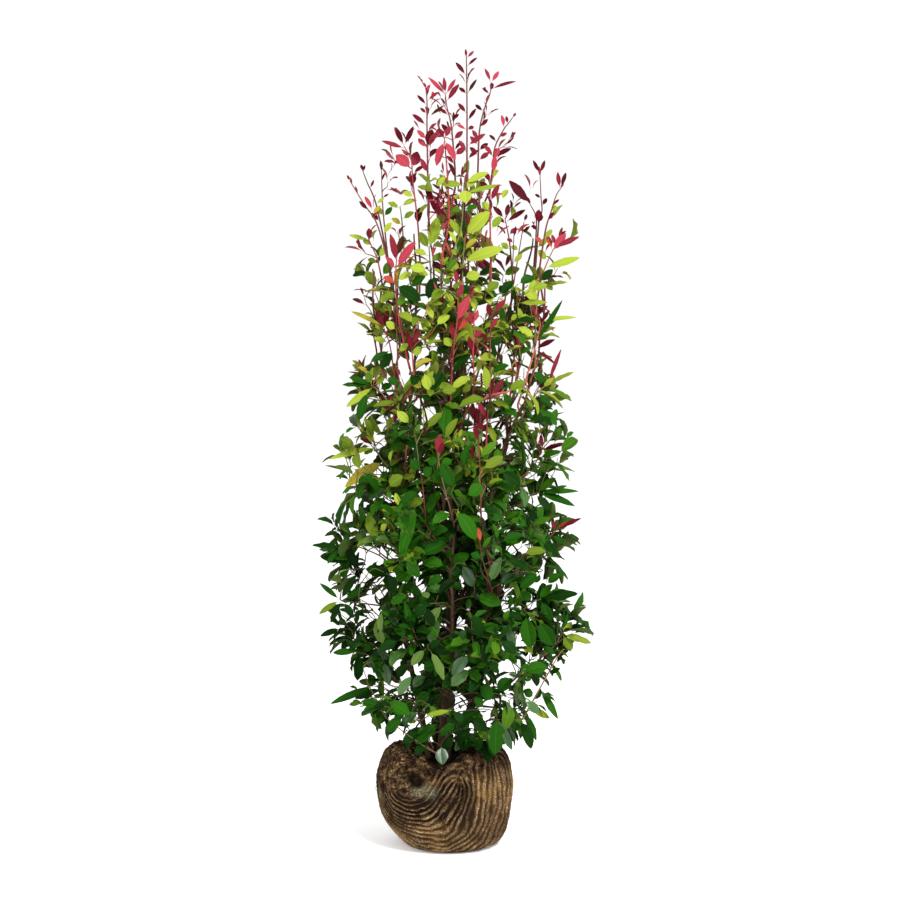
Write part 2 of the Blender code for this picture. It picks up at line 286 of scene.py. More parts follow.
def jute_material():
    """Ridges of tan fibre over dark furrows, their contrast partly the fibre's own tone and partly painted shade in the
    furrows and painted light on the ridges; painted light on the right side and low down; painted shade over the upper
    part and in the hollow; soil shows in the mouth and where the wrap is stained.
    """
    n = Nodes("jute_wrap")
    place = n.where()
    ridge = n.attribute("ridge")
    mess = n.attribute("mess")
    soil = n.attribute("soil")
    painted_light = n.attribute("painted_light")
    high_up = n.attribute("high")
    fibre = n.noise(260, 6, 0.72, n.where((1, 1, 1)), 1.2)
    strands = n.noise(95, 5, 0.7, place, 2.0)
    stain = n.noise(11, 4, 0.6, place, 0.5)
    # lit ridges and dark furrows are mixed by how high the relief stands: partly the fibre's tone, partly painted light
    # on the ridge tops and painted shade in the furrows
    lit = n.ramp(fibre, (0.38, (60, 41, 24)), (0.47, (112, 86, 58)), (0.55, (158, 130, 94)), (0.66, (212, 190, 154)))
    furrow = n.ramp(fibre, (0.35, (8, 4, 2)), (0.55, (20, 11, 6)), (0.75, (42, 27, 15)))
    # painted light: on the right side and the lower part of the wrap the furrows turn sunny and the ridges lighter
    sunny = n.ramp(fibre, (0.35, (38, 25, 12)), (0.55, (76, 54, 30)), (0.75, (112, 84, 50)))
    furrow = n.mix(furrow, sunny, painted_light)
    height = n.math("ADD", ridge, n.math("MULTIPLY", n.math("SUBTRACT", strands, 0.5), 0.85))
    dark_side = n.mix(furrow, lit, n.grey(height, (0.50, 0.0), (0.92, 1.0)))
    light_side = n.mix(furrow, lit, n.grey(height, (0.30, 0.0), (0.78, 0.85)))
    cloth = n.mix(dark_side, light_side, painted_light)
    stain_and_shade = n.mix(cloth, linear((38, 25, 16)), n.grey(stain, (0.43, 0.0), (0.60, 0.64)))
    # painted shade: over the stains, the upper part of the wrap is darkened in noisy patches, less on the side with
    # painted light
    shade = n.math("MULTIPLY", high_up, n.grey(n.noise(26, 4, 0.65, place, 0.8), (0.38, 0.20), (0.60, 0.68)))
    stain_and_shade = n.mix(stain_and_shade, linear((28, 17, 10)), n.math("MULTIPLY", shade, n.math("SUBTRACT", 1.0, n.math("MULTIPLY", painted_light, 0.55))))
    golden = n.mix(stain_and_shade, linear((156, 120, 66)), n.grey(stain, (0.30, 0.34), (0.44, 0.0)), "MIX")
    coarse = n.noise(50, 5, 0.72, n.where((1, 1, 1.3)), 1.6)
    tangle = n.ramp(coarse, (0.38, (12, 7, 3)), (0.48, (40, 26, 15)), (0.57, (106, 82, 54)), (0.68, (172, 148, 112)))
    cloth = n.mix(golden, tangle, n.grey(mess, (0.25, 0.0), (0.8, 0.85)))
    pale_cloth = n.ramp(strands, (0.38, (44, 40, 28)), (0.52, (100, 98, 76)), (0.66, (148, 146, 120)))
    cloth = n.mix(cloth, pale_cloth, n.math("MULTIPLY", n.attribute("patch"), 0.72))
    # painted shade: the hollow on the left is painted nearly black over its carved dip
    cloth = n.mix(cloth, linear((14, 7, 4)), n.math("MULTIPLY", n.attribute("hollow"), 0.92))
    earth = n.ramp(fibre, (0.35, (12, 8, 5)), (0.6, (30, 20, 12)), (0.8, (52, 38, 26)))
    n.link(n.mix(cloth, earth, soil), n.b.inputs["Base Color"])
    n.b.inputs["Roughness"].default_value = 0.95
    n.b.inputs["Specular IOR Level"].default_value = 0.05
    n.bump(n.math("ADD", n.math("MULTIPLY", fibre, 0.5), n.math("MULTIPLY", strands, 0.7)), 0.0022, 0.9)
    return n.m


def straw_material():
    n = Nodes("jute_fibre")
    tone = n.noise(30, 3, 0.6, n.where())
    n.link(n.ramp(tone, (0.30, (46, 32, 18)), (0.5, (88, 68, 43)), (0.68, (142, 118, 84))), n.b.inputs["Base Color"])
    n.b.inputs["Roughness"].default_value = 0.85
    n.b.inputs["Specular IOR Level"].default_value = 0.1
    return n.m


# kind, colour name, top, midrib, underside
LEAF_TINTS = {
    "leaves_dark": (
        ("dark_a", (7, 30, 2), (20, 48, 8), (40, 56, 20)),
        ("dark_b", (12, 44, 3), (28, 62, 10), (46, 64, 24)),
        ("dark_c", (22, 64, 5), (44, 86, 18), (60, 80, 32)),
        ("dark_d", (32, 80, 6), (58, 102, 24), (68, 88, 36)),
        ("gloss_a", (22, 58, 12), (48, 84, 28), (66, 88, 40)),
        ("gloss_b", (50, 86, 30), (80, 110, 52), (84, 104, 52)),
        # painted sheen: pale grey-green leaves with little gloss of their own, standing for the sky's reflection on
        # glossy leaves
        ("pale_a", (80, 104, 46), (104, 126, 66), (92, 110, 56)),
        ("pale_b", (104, 122, 58), (126, 142, 82), (110, 126, 70)),
    ),
    "leaves_green": (
        ("green_a", (46, 88, 10), (78, 114, 34), (72, 92, 40)),
        ("green_b", (64, 98, 16), (94, 122, 40), (82, 102, 44)),
        ("green_c", (86, 104, 24), (114, 128, 50), (94, 108, 48)),
    ),
    "leaves_lime": (
        ("lime_a", (112, 130, 32), (142, 152, 64), (94, 106, 40)),
        ("lime_b", (136, 152, 46), (162, 170, 84), (110, 122, 50)),
        ("lime_c", (146, 136, 46), (166, 158, 80), (124, 120, 54)),
        ("lime_d", (86, 106, 22), (116, 134, 50), (80, 96, 38)),
    ),
    "leaves_coral": (
        ("coral_a", (146, 48, 60), (168, 80, 86), (134, 66, 70)),
        ("coral_b", (112, 30, 42), (138, 58, 64), (114, 52, 54)),
        ("coral_c", (148, 58, 42), (168, 88, 62), (140, 78, 56)),
    ),
    "leaves_maroon": (
        ("maroon_a", (62, 5, 14), (96, 20, 30), (92, 32, 38)),
        ("maroon_b", (70, 9, 20), (104, 28, 38), (96, 36, 42)),
        ("maroon_c", (86, 12, 26), (116, 36, 46), (104, 40, 46)),
        ("bronze", (50, 24, 10), (84, 48, 22), (84, 58, 34)),
    ),
}
TINT_PLACE = {}
LEAF_MATERIALS = {}
for piece_name, tints in LEAF_TINTS.items():
    LEAF_MATERIALS[piece_name] = []
    for row, (tint, top, rib, under) in enumerate(tints):
        TINT_PLACE[tint] = (piece_name, row * 3)
        glossy = tint.startswith("gloss")
        rib = tuple((a + b) / 2 for a, b in zip(top, rib))
        LEAF_MATERIALS[piece_name] += [
            plain("leaf_" + tint, top, 0.36 if glossy else 0.52, 0.46 if glossy else 0.045),
            plain("rib_" + tint, rib, 0.6, 0.04),
            plain("under_" + tint, under, 0.7, 0.04),
        ]

TWIG_TINTS = {
    "twigs_brown": (("brown_a", (66, 46, 27)), ("brown_b", (84, 64, 38)), ("brown_c", (50, 32, 19))),
    "twigs_green": (("olive_a", (68, 74, 30)), ("olive_b", (92, 98, 44)), ("tan", (122, 86, 50))),
    "shoots_red": (("red_a", (92, 30, 26)), ("red_b", (140, 42, 44)), ("red_c", (176, 84, 72)), ("red_d", (66, 22, 20))),
}
TWIG_PLACE = {}
TWIG_MATERIALS = {}
for piece_name, tints in TWIG_TINTS.items():
    TWIG_MATERIALS[piece_name] = []
    for row, (tint, rgb) in enumerate(tints):
        TWIG_PLACE[tint] = (piece_name, row)
        TWIG_MATERIALS[piece_name].append(plain("twig_" + tint, rgb, 0.55, 0.35))


# ------------------------------------------------------------------ meshes
def mesh_object(name, points, faces, materials, face_material=None, smooth_shade=True, flags=None):
    """One joined mesh from arrays. Edges with both ends on the same margin of a leaf are marked sharp."""
    points = np.asarray(points, dtype=np.float32)
    sizes = np.fromiter((len(f) for f in faces), dtype=np.int32, count=len(faces))
    loops = np.fromiter((i for f in faces for i in f), dtype=np.int32, count=int(sizes.sum()))
    mesh = bpy.data.meshes.new(name)
    mesh.vertices.add(len(points))
    mesh.vertices.foreach_set("co", points.ravel())
    mesh.loops.add(len(loops))
    mesh.loops.foreach_set("vertex_index", loops)
    mesh.polygons.add(len(sizes))
    mesh.polygons.foreach_set("loop_start", np.concatenate(([0], np.cumsum(sizes)[:-1])).astype(np.int32))
    mesh.polygons.foreach_set("use_smooth", np.full(len(sizes), smooth_shade))
    if face_material is not None:
        mesh.polygons.foreach_set("material_index", np.asarray(face_material, dtype=np.int32))
    mesh.update(calc_edges=True)
    if flags is not None:
        flags = np.asarray(flags, dtype=np.int32)
        ends = np.zeros(len(mesh.edges) * 2, dtype=np.int32)
        mesh.edges.foreach_get("vertices", ends)
        ends = ends.reshape(-1, 2)
        sharp = (flags[ends[:, 0]] & flags[ends[:, 1]]) != 0
        layer = mesh.attributes.new("sharp_edge", "BOOLEAN", "EDGE")
        layer.data.foreach_set("value", sharp)
    for m in materials:
        mesh.materials.append(m)
    mesh.validate()
    o = bpy.data.objects.new(name, mesh)
    SCENE.collection.objects.link(o)
    return o


def settle(o, slot, *nodes):
    """The piece rides on the plant's one body, and stands for these nodes."""
    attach(o, "root")
    if nodes:
        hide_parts(*nodes)
    return o


def tube(points, radii, sides, start, cap=True):
    """Points and faces of a closed tapering tube along a list of points; start is the first vertex's number."""
    spots, faces = [], []
    count = len(points)
    side = None
    for i, p in enumerate(points):
        ahead = (points[min(i + 1, count - 1)] - points[max(i - 1, 0)]).normalized()
        side = across(ahead, Vector((0.31, 0.95, 0.05)) if side is None else side)
        other = ahead.cross(side)
        for k in range(sides):
            a = 2 * math.pi * k / sides
            spots.append(p + (side * math.cos(a) + other * math.sin(a)) * radii[i])
    for i in range(count - 1):
        for k in range(sides):
            a, b = i * sides + k, i * sides + (k + 1) % sides
            faces.append((start + a, start + b, start + b + sides, start + a + sides))
    if cap:
        faces.append(tuple(start + k for k in reversed(range(sides))))
        spots.append(points[-1] + (points[-1] - points[-2]).normalized() * radii[-1])
        last = start + len(spots) - 1
        base = start + (count - 1) * sides
        for k in range(sides):
            faces.append((base + k, base + (k + 1) % sides, last))
    return spots, faces


# ------------------------------------------------------------------ the frame's limbs, by the same named sizes
BALL_X = -0.013
RIM_RADIUS, RIM_Z, FLOOR_RADIUS, FLOOR_Z = 0.100, 0.266, 0.066, 0.214
TRUNK_X, TRUNK_LEAN, TRUNK_BOTTOM_D, TRUNK_TOP_D, TRUNK_END_Z, TOP, FLARE = -0.018, 0.056, 0.034, 0.006, 1.655, 1.985, 1.30
TOUCH = 0.0008


def trunk_axis(z):
    s = min(max((z - FLOOR_Z) / (TOP - FLOOR_Z), 0.0), 1.0)
    return Vector((TRUNK_X + TRUNK_LEAN * (1 - (1 - s) ** 1.6) + 0.003 * math.sin(9 * s), 0.005 * math.sin(7 * s + 0.6), z))


def trunk_radius(z):
    s = (z - FLOOR_Z) / (TRUNK_END_Z - FLOOR_Z)
    flare = 1 + (FLARE - 1) * math.exp(-(z - FLOOR_Z) / 0.030)
    return 0.5 * (TRUNK_BOTTOM_D + (TRUNK_TOP_D - TRUNK_BOTTOM_D) * min(max(s, 0), 1) ** 0.50) * flare


STEMS = {
    "stem_right": (8, 0.043, (0.095, -0.020, 0.700), 0.017),
    "stem_back": (97, 0.040, (0.020, 0.130, 0.720), 0.015),
    "stem_left": (186, 0.043, (-0.125, 0.010, 0.700), 0.016),
    "stem_front": (284, 0.040, (0.005, -0.125, 0.640), 0.013),
}
BOUGHS = {
    "bough_low_left": (0.420, 222, 0.150, 0.190, 0.012),
    "bough_low_right": (0.450, 318, 0.150, 0.200, 0.011),
    "bough_low_back": (0.480, 135, 0.150, 0.200, 0.011),
    "bough_mid_right": (0.600, 34, 0.160, 0.220, 0.011),
    "bough_mid_left": (0.660, 150, 0.160, 0.220, 0.010),
    "bough_mid_front": (0.720, 252, 0.150, 0.220, 0.010),
    "bough_high_back": (0.840, 76, 0.150, 0.240, 0.009),
    "bough_high_right": (0.920, 352, 0.160, 0.240, 0.009),
}
TOP_BOUGHS = {
    "bough_top_left": ((-0.082, 0.012, 1.403), (-0.090, 0.015, 1.530), 0.0060),
    "bough_top_right": ((0.184, 0.018, 1.403), (0.208, 0.030, 1.520), 0.0060),
}
# where each stem goes on to inside the foliage: top and diameter there
CANES = {
    "stem_right": ((0.184, 0.018, 1.403), 0.0060),
    "stem_back": ((0.045, 0.078, 1.480), 0.0050),
    "stem_left": ((-0.082, 0.012, 1.403), 0.0060),
    "stem_front": ((-0.022, -0.078, 1.440), 0.0048),
}
# younger canes that fork off inside the foliage and stand nearly upright: where they fork, their top, diameters there
YOUNG_CANES = (
    ((-0.130, 0.000, 0.860), (-0.192, -0.014, 1.440), 0.0075, 0.0042),
    ((0.125, -0.010, 0.900), (0.236, -0.022, 1.400), 0.0075, 0.0042),
    ((0.050, -0.050, 0.640), (0.076, -0.112, 1.180), 0.0085, 0.0050),
    ((0.020, -0.060, 0.820), (0.100, -0.060, 1.460), 0.0075, 0.0042),
    ((-0.010, -0.080, 0.860), (-0.122, -0.086, 1.380), 0.0070, 0.0040),
    ((0.060, 0.060, 0.900), (0.142, 0.086, 1.420), 0.0070, 0.0040),
    ((-0.100, 0.040, 0.880), (-0.196, 0.058, 1.330), 0.0070, 0.0040),
    ((0.030, 0.000, 1.050), (0.072, 0.020, 1.620), 0.0070, 0.0042),
    ((0.015, 0.000, 1.000), (-0.052, -0.028, 1.620), 0.0070, 0.0042),
    ((0.030, 0.010, 1.100), (-0.006, 0.052, 1.600), 0.0065, 0.0040),
    ((0.110, -0.010, 0.980), (0.166, -0.040, 1.360), 0.0065, 0.0038),
    ((-0.125, 0.000, 0.980), (-0.128, -0.030, 1.420), 0.0065, 0.0038),
    ((-0.090, -0.020, 0.700), (-0.100, -0.120, 1.160), 0.0070, 0.0040),
)


def stem_path(name, t):
    azimuth, radius, end, _ = STEMS[name]
    start = Vector((BALL_X, 0, FLOOR_Z)) + around(azimuth) * radius
    end = Vector(end)
    rise = end.z - start.z
    first = start + Vector((0, 0, 0.30 * rise)) + around(azimuth) * 0.012
    second = Vector((end.x, end.y, end.z - 0.45 * rise))
    return bezier(start, first, second, end, t)


def bough_path(name, t):
    fork, azimuth, reach, rise, d = BOUGHS[name]
    out = around(azimuth)
    start = trunk_axis(fork) + out * (trunk_radius(fork) + 0.5 * d + TOUCH)
    return bezier(start, start + out * 0.35 * reach + UP * 0.40 * rise, start + out * 0.75 * reach + UP * 0.62 * rise,
                  start + out * reach + UP * rise, t)


def top_bough_path(name, t):
    start, end, d = TOP_BOUGHS[name]
    start, end = Vector(start), Vector(end)
    rise = end.z - start.z
    return bezier(start, start + UP * 0.35 * rise, end - UP * 0.35 * rise, end, t)


# ------------------------------------------------------------------ bark
def bark_limb(name, points, radii, sides, relief):
    """A limb with the bark's own relief: long shallow ridges, knots at the old leaf scars and a slightly uneven round."""
    seed = Vector((dice.uniform(0, 50), dice.uniform(0, 50), 0))
    spots, faces = [], []
    count = len(points)
    side = None
    knots = [(dice.uniform(0.05, 0.95) * (count - 1), dice.uniform(0, 2 * math.pi)) for _ in range(int(count / 9))]
    for i, p in enumerate(points):
        ahead = (points[min(i + 1, count - 1)] - points[max(i - 1, 0)]).normalized()
        side = across(ahead, Vector((0.31, 0.95, 0.05)) if side is None else side)
        other = ahead.cross(side)
        for k in range(sides):
            a = 2 * math.pi * k / sides
            out = side * math.cos(a) + other * math.sin(a)
            here = p + out * radii[i]
            wood = noise.noise(Vector((out.x * 3.1, out.y * 3.1, p.z * 14)) + seed)
            ridge = abs(noise.noise(Vector((out.x * 7, out.y * 7, p.z * 30)) + seed * 1.7))
            r = radii[i] * (1 + relief * (0.55 * wood - 0.9 * ridge + 0.2))
            for at, turn in knots:
                gap = math.cos(a - turn)
                if gap > 0.3:
                    r += radii[i] * 0.30 * math.exp(-((i - at) / 1.3) ** 2) * (gap - 0.3) ** 2
            spots.append(p + out * r)
    for i in range(count - 1):
        for k in range(sides):
            a, b = i * sides + k, i * sides + (k + 1) % sides
            faces.append((a, b, b + sides, a + sides))
    faces.append(tuple(reversed(range(sides))))
    spots.append(points[-1] + (points[-1] - points[-2]).normalized() * radii[-1] * 0.6)
    for k in range(sides):
        faces.append(((count - 1) * sides + k, (count - 1) * sides + (k + 1) % sides, len(spots) - 1))
    return mesh_object(name, spots, faces, [BARK])


BARK = bark_material()
CANE = cane_material()
YOUNG_BARK = young_material()

# The skeleton that shoots grow on: place, direction, radius, order (0 limb, 1 cane, 2 bough, 3 shoot, 4 side shoot).
S_place, S_way, S_radius, S_order, S_parent, S_mass = [], [], [], [], [], []
ARRAY_PLACE, ARRAY_ORDER = np.zeros((90000, 3)), np.zeros(90000, dtype=np.int32)
CHAINS = []  # each: dict(nodes, order, tint, leafy, ...)


def skeleton_path(points, radii, order, parent=-1, mass=""):
    """Adds a path to the skeleton and returns the numbers of its points."""
    numbers = []
    for i, p in enumerate(points):
        way = (points[min(i + 1, len(points) - 1)] - points[max(i - 1, 0)]).normalized()
        S_place.append(p.copy())
        S_way.append(way)
        S_radius.append(radii[i])
        S_order.append(order)
        S_parent.append(parent)
        S_mass.append(mass)
        parent = len(S_place) - 1
        ARRAY_PLACE[parent] = p
        ARRAY_ORDER[parent] = order
        numbers.append(parent)
    return numbers


def spread(path, length, step):
    count = max(int(length / step), 4)
    return [path(i / count) for i in range(count + 1)]


# trunk
zs = [FLOOR_Z + TOUCH + (TRUNK_END_Z - FLOOR_Z - TOUCH) * i / 240 for i in range(241)]
trunk_points = [trunk_axis(z) for z in zs]
trunk_radii = [max(trunk_radius(z), 0.0026) for z in zs]
trunk = settle(bark_limb("trunk_bark", trunk_points, trunk_radii, 22, 0.16), "bark", "trunk")
skeleton_path(trunk_points[10::3], trunk_radii[10::3], 0)

LIMB_ENDS = {}
for name, (azimuth, radius, end, d) in STEMS.items():
    points = spread(lambda t: stem_path(name, t), 0.50, 0.0055)
    n = len(points) - 1
    taper = [0.5 * d * (1 - 0.38 * i / n) * (1 + 0.25 * math.exp(-18 * i / n)) for i in range(n + 1)]
    settle(bark_limb(name + "_bark", points, taper, 18, 0.16), "bark", name)
    skeleton_path(points[12::3], taper[12::3], 0)
    LIMB_ENDS[name] = (points[-1], (points[-1] - points[-2]).normalized(), taper[-1])
for name, (fork, azimuth, reach, rise, d) in BOUGHS.items():
    points = spread(lambda t: bough_path(name, t), 0.25, 0.005)
    n = len(points) - 1
    taper = [0.5 * d * (1 - 0.55 * i / n) * (1 + 0.25 * math.exp(-18 * i / n)) for i in range(n + 1)]
    inner = points[0] - (points[1] - points[0]).normalized() * 0.006
    settle(bark_limb(name + "_bark", [inner] + points, [taper[0] * 1.1] + taper, 14, 0.15), "bark", name)
    skeleton_path(points[4::3], taper[4::3], 0)
for name, (start, end, d) in TOP_BOUGHS.items():
    points = spread(lambda t: top_bough_path(name, t), 0.13, 0.005)
    n = len(points) - 1
    taper = [0.5 * d * (1 - 0.40 * i / n) for i in range(n + 1)]
    settle(bark_limb(name + "_bark", [points[0] - UP * 0.012] + points, [taper[0]] + taper, 12, 0.12), "bark", name)
    skeleton_path(points[3::3], taper[3::3], 0)

# canes: the stems go on up through the foliage
cane_points, cane_faces = [], []


def wavy(points, amount, seed):
    """A path with the small kinks that wood has at its old buds."""
    n = len(points) - 1
    out = []
    for i, p in enumerate(points):
        fade = math.sin(math.pi * min(i / n, 1.0)) ** 0.5 if n else 0
        w = Vector((noise.noise(Vector((seed, p.z * 11, 0.3))), noise.noise(Vector((seed + 9, p.z * 11, 4.1))), 0))
        out.append(p + w * amount * fade)
    return out


for number, (name, (top, d_top)) in enumerate(CANES.items()):
    start, way, r0 = LIMB_ENDS[name]
    top = Vector(top)
    rise = top.z - start.z
    raw = [bezier(start, start + way * 0.35 * rise, top - Vector((0, 0, 0.4 * rise)), top, i / 60) for i in range(61)]
    path = wavy(raw, 0.020, 3.7 + number)
    radii = [lerp(r0, d_top / 2, (i / 60) ** 0.8) for i in range(61)]
    spots, faces = tube(path, radii, 10, len(cane_points))
    cane_points += spots
    cane_faces += faces
    skeleton_path(path[2:], radii[2:], 1)

young_points, young_faces = [], []
for number, (fork, top, d_low, d_top) in enumerate(YOUNG_CANES):
    fork, top = Vector(fork), Vector(top)
    foot = min(range(len(S_place)), key=lambda i: (S_place[i] - fork).length)
    start, way = S_place[foot], S_way[foot]
    rise = top.z - start.z
    leave = (way + (top - start).normalized() * 0.8).normalized()
    raw = [bezier(start, start + leave * 0.30 * rise, top - Vector((0.02 * (top.x - start.x), 0, 0.42 * rise)), top, i / 50) for i in range(51)]
    path = wavy(raw, 0.016, 21.3 + number)
    radii = [lerp(min(d_low / 2, S_radius[foot] * 0.95), d_top / 2, (i / 50) ** 0.8) for i in range(51)]
    spots, faces = tube(path, radii, 9, len(young_points))
    young_points += spots
    young_faces += faces
    skeleton_path(path[3:], radii[3:], 1)

# ------------------------------------------------------------------ foliage masses of the frame
MASS = {}
for node_name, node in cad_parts.items():
    if node_name.startswith(("mass_", "spray_")):
        me = node.data
        tree = BVHTree.FromPolygons([v.co for v in me.vertices], [list(p.vertices) for p in me.polygons])
        low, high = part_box(node_name)
        centre = sum((v.co for v in me.vertices), Vector()) / len(me.vertices)
        MASS[node_name] = {"tree": tree, "low": low, "high": high, "centre": centre}


def within(mass, p):
    """How deep a point is inside a mass (positive inside)."""
    spot_, normal, _, d = mass["tree"].find_nearest(p)
    return d if (spot_ - p).dot(normal) > 0 else -d


# ------------------------------------------------------------------ leaves
ACROSS = np.array([-1, -0.52, -0.07, 0.07, 0.52, 1, 0.3, -0.3])
BELOW = np.array([0, 0, 0, 0, 0, 0, 1.0, 1.0])
ALONG = np.array([0.0, 0.13, 0.34, 0.56, 0.76, 0.92])
RINGS = len(ALONG)
RING = len(ACROSS)
LEAF_FLAGS = [3] + [1 if k == 0 else 2 if k == 5 else 0 for _ in range(RINGS) for k in range(RING)] + [3]
# the same shape closed with one point at the stalk's foot and one at the tip
LEAF_FACES, LEAF_PARTS = [], []
for k in range(RING):
    LEAF_FACES.append((0, 1 + (k + 1) % RING, 1 + k))
    LEAF_PARTS.append(2 if k > 4 else 1)
for j in range(RINGS - 1):
    for k in range(RING):
        a, b = 1 + j * RING + k, 1 + j * RING + (k + 1) % RING
        LEAF_FACES.append((a, b, b + RING, a + RING))
        LEAF_PARTS.append(1 if k == 2 else 0 if k < 5 else 2)
for k in range(RING):
    a, b = 1 + (RINGS - 1) * RING + k, 1 + (RINGS - 1) * RING + (k + 1) % RING
    LEAF_FACES.append((a, b, 1 + RINGS * RING))
    LEAF_PARTS.append(0 if k < 5 else 2)
LEAF_VERTS = 2 + RINGS * RING
LEAVES = {name: {"points": [], "tints": []} for name in LEAF_TINTS}
LEAF_COUNT = 0
ROOM = 0.014  # how far a leaf may stand proud of the frame's box
SAMPLES = np.array([1 + j * RING + 2 for j in range(1, RINGS)] + [1 + j * RING + k for j in (2, 3, 4) for k in (0, 5)] + [1 + RINGS * RING])

# places where sky shows through the crown, in the picture: (u, v, half width, half height)
GAPS = np.array((
    (482, 308, 6, 8), (404, 308, 4, 4), (512, 306, 3, 6), (418, 326, 4, 3), (436, 336, 3, 5), (540, 346, 4, 8), (502, 350, 3, 8), (390, 354, 3, 9),
    (422, 354, 4, 6), (434, 348, 3, 3), (524, 356, 6, 6), (406, 364, 4, 9), (522, 372, 5, 5), (480, 378, 3, 6), (424, 368, 4, 4), (536, 390, 5, 8),
    (418, 400, 3, 5), (430, 412, 7, 4), (416, 408, 3, 3), (496, 412, 3, 3), (530, 424, 5, 3), (382, 426, 3, 3), (371, 452, 3, 3), (402, 455, 3, 3),
    (482, 516, 2, 4), (520, 540, 4, 3), (376, 554, 14, 9), (510, 550, 6, 3), (526, 578, 4, 4), (440, 577, 3, 5), (459, 580, 2, 8), (364, 576, 4, 8),
    (421, 588, 4, 4), (414, 598, 3, 3), (370, 600, 4, 7), (376, 610, 3, 7), (461, 624, 4, 8), (372, 618, 5, 7), (502, 638, 6, 3), (420, 644, 4, 3),
    (428, 641, 3, 3), (405, 645, 3, 4), (508, 666, 5, 5), (406, 674, 4, 5), (395, 684, 5, 5), (414, 694, 4, 4), (458, 698, 3, 8), (490, 702, 4, 4),
    (510, 702, 3, 6), (480, 706, 4, 3), (404, 710, 5, 6), (464, 712, 5, 6), (488, 718, 4, 6), (428, 719, 3, 8), (424, 727, 5, 6), (512, 244, 8, 14),
    (532, 256, 5, 11), (494, 234, 4, 12), (404, 256, 3, 9), (456, 232, 2, 5), (557, 298, 6, 6), (372, 350, 6, 8),
    (350, 726, 18, 14), (564, 738, 18, 16), (342, 668, 10, 9), (574, 670, 14, 14), (346, 296, 9, 9), (575, 288, 8, 8), (346, 166, 8, 9), (338, 178, 9, 12), (340, 208, 9, 9), (582, 266, 7, 8),
    (576, 176, 8, 14), (578, 200, 8, 8), (352, 256, 7, 8), (584, 236, 7, 14), (583, 250, 6, 8), (589, 448, 13, 15), (594, 428, 14, 12),
    (479, 322, 5, 6), (390, 382, 4, 10), (405, 378, 4, 8), (519, 400, 5, 9), (517, 276, 5, 8),
    (463, 712, 5, 6), (471, 727, 4, 6), (424, 726, 7, 4), (396, 731, 9, 7), (454, 698, 3, 5), (422, 764, 8, 9), (425, 757, 6, 6), (431, 748, 4, 5)), dtype=float)
# and specks of sky in the thin parts of the crown, too many to name: (u, v of the part's corners, how many)
scatter = random.Random(61)
specks = []
for u0, v0, u1, v1, many in ((344, 548, 424, 726, 21), (492, 636, 548, 726, 10), (496, 520, 556, 632, 7), (352, 440, 392, 540, 5), (430, 640, 492, 716, 3),
                             (392, 400, 520, 520, 4), (360, 290, 420, 400, 5), (500, 290, 556, 400, 5)):
    placed = []
    while len(placed) < many:
        u, v = scatter.uniform(u0, u1), scatter.uniform(v0, v1)
        if all(math.hypot(u - a, v - b) > 8 for a, b in placed):
            placed.append((u, v))
            specks.append((u, v, scatter.uniform(2.8, 4.4), scatter.uniform(3.2, 5.6)))
GAPS = np.concatenate((GAPS, np.array(specks)))
# what stands clear in front: segments (u0, v0, u1, v1, half width, depth, hits that cover it), no later leaf lies over them
CLEAR = [(447, 612, 446, 640, 2.2, -0.002, 1), (442.5, 696, 442, 738, 3.6, -0.004, 1)]
CLEAR_ROWS = None


def covers(world):
    """Whether a leaf would close a gap of the crown or lie over something that stands clear."""
    points = world[SAMPLES]
    u, v = on_picture(points)
    inside = ((u[:, None] - GAPS[None, :, 0]) / (GAPS[None, :, 2] * 0.72)) ** 2 + ((v[:, None] - GAPS[None, :, 1]) / (GAPS[None, :, 3] * 0.72)) ** 2 < 1
    if inside.any():
        return True
    if CLEAR_ROWS is None:
        return False
    a, b = CLEAR_ROWS[:, 0:2], CLEAR_ROWS[:, 2:4]
    way = b - a
    to = np.stack((u, v), axis=1)[:, None, :] - a[None]
    share = np.clip((to * way[None]).sum(2) / np.maximum((way * way).sum(1), 1e-6)[None], 0, 1)
    gap = np.linalg.norm(to - share[:, :, None] * way[None], axis=2)
    over = (gap < CLEAR_ROWS[None, :, 4]) & (points[:, 1][:, None] < CLEAR_ROWS[None, :, 5])
    return bool((over.sum(0) >= CLEAR_ROWS[:, 6]).any())


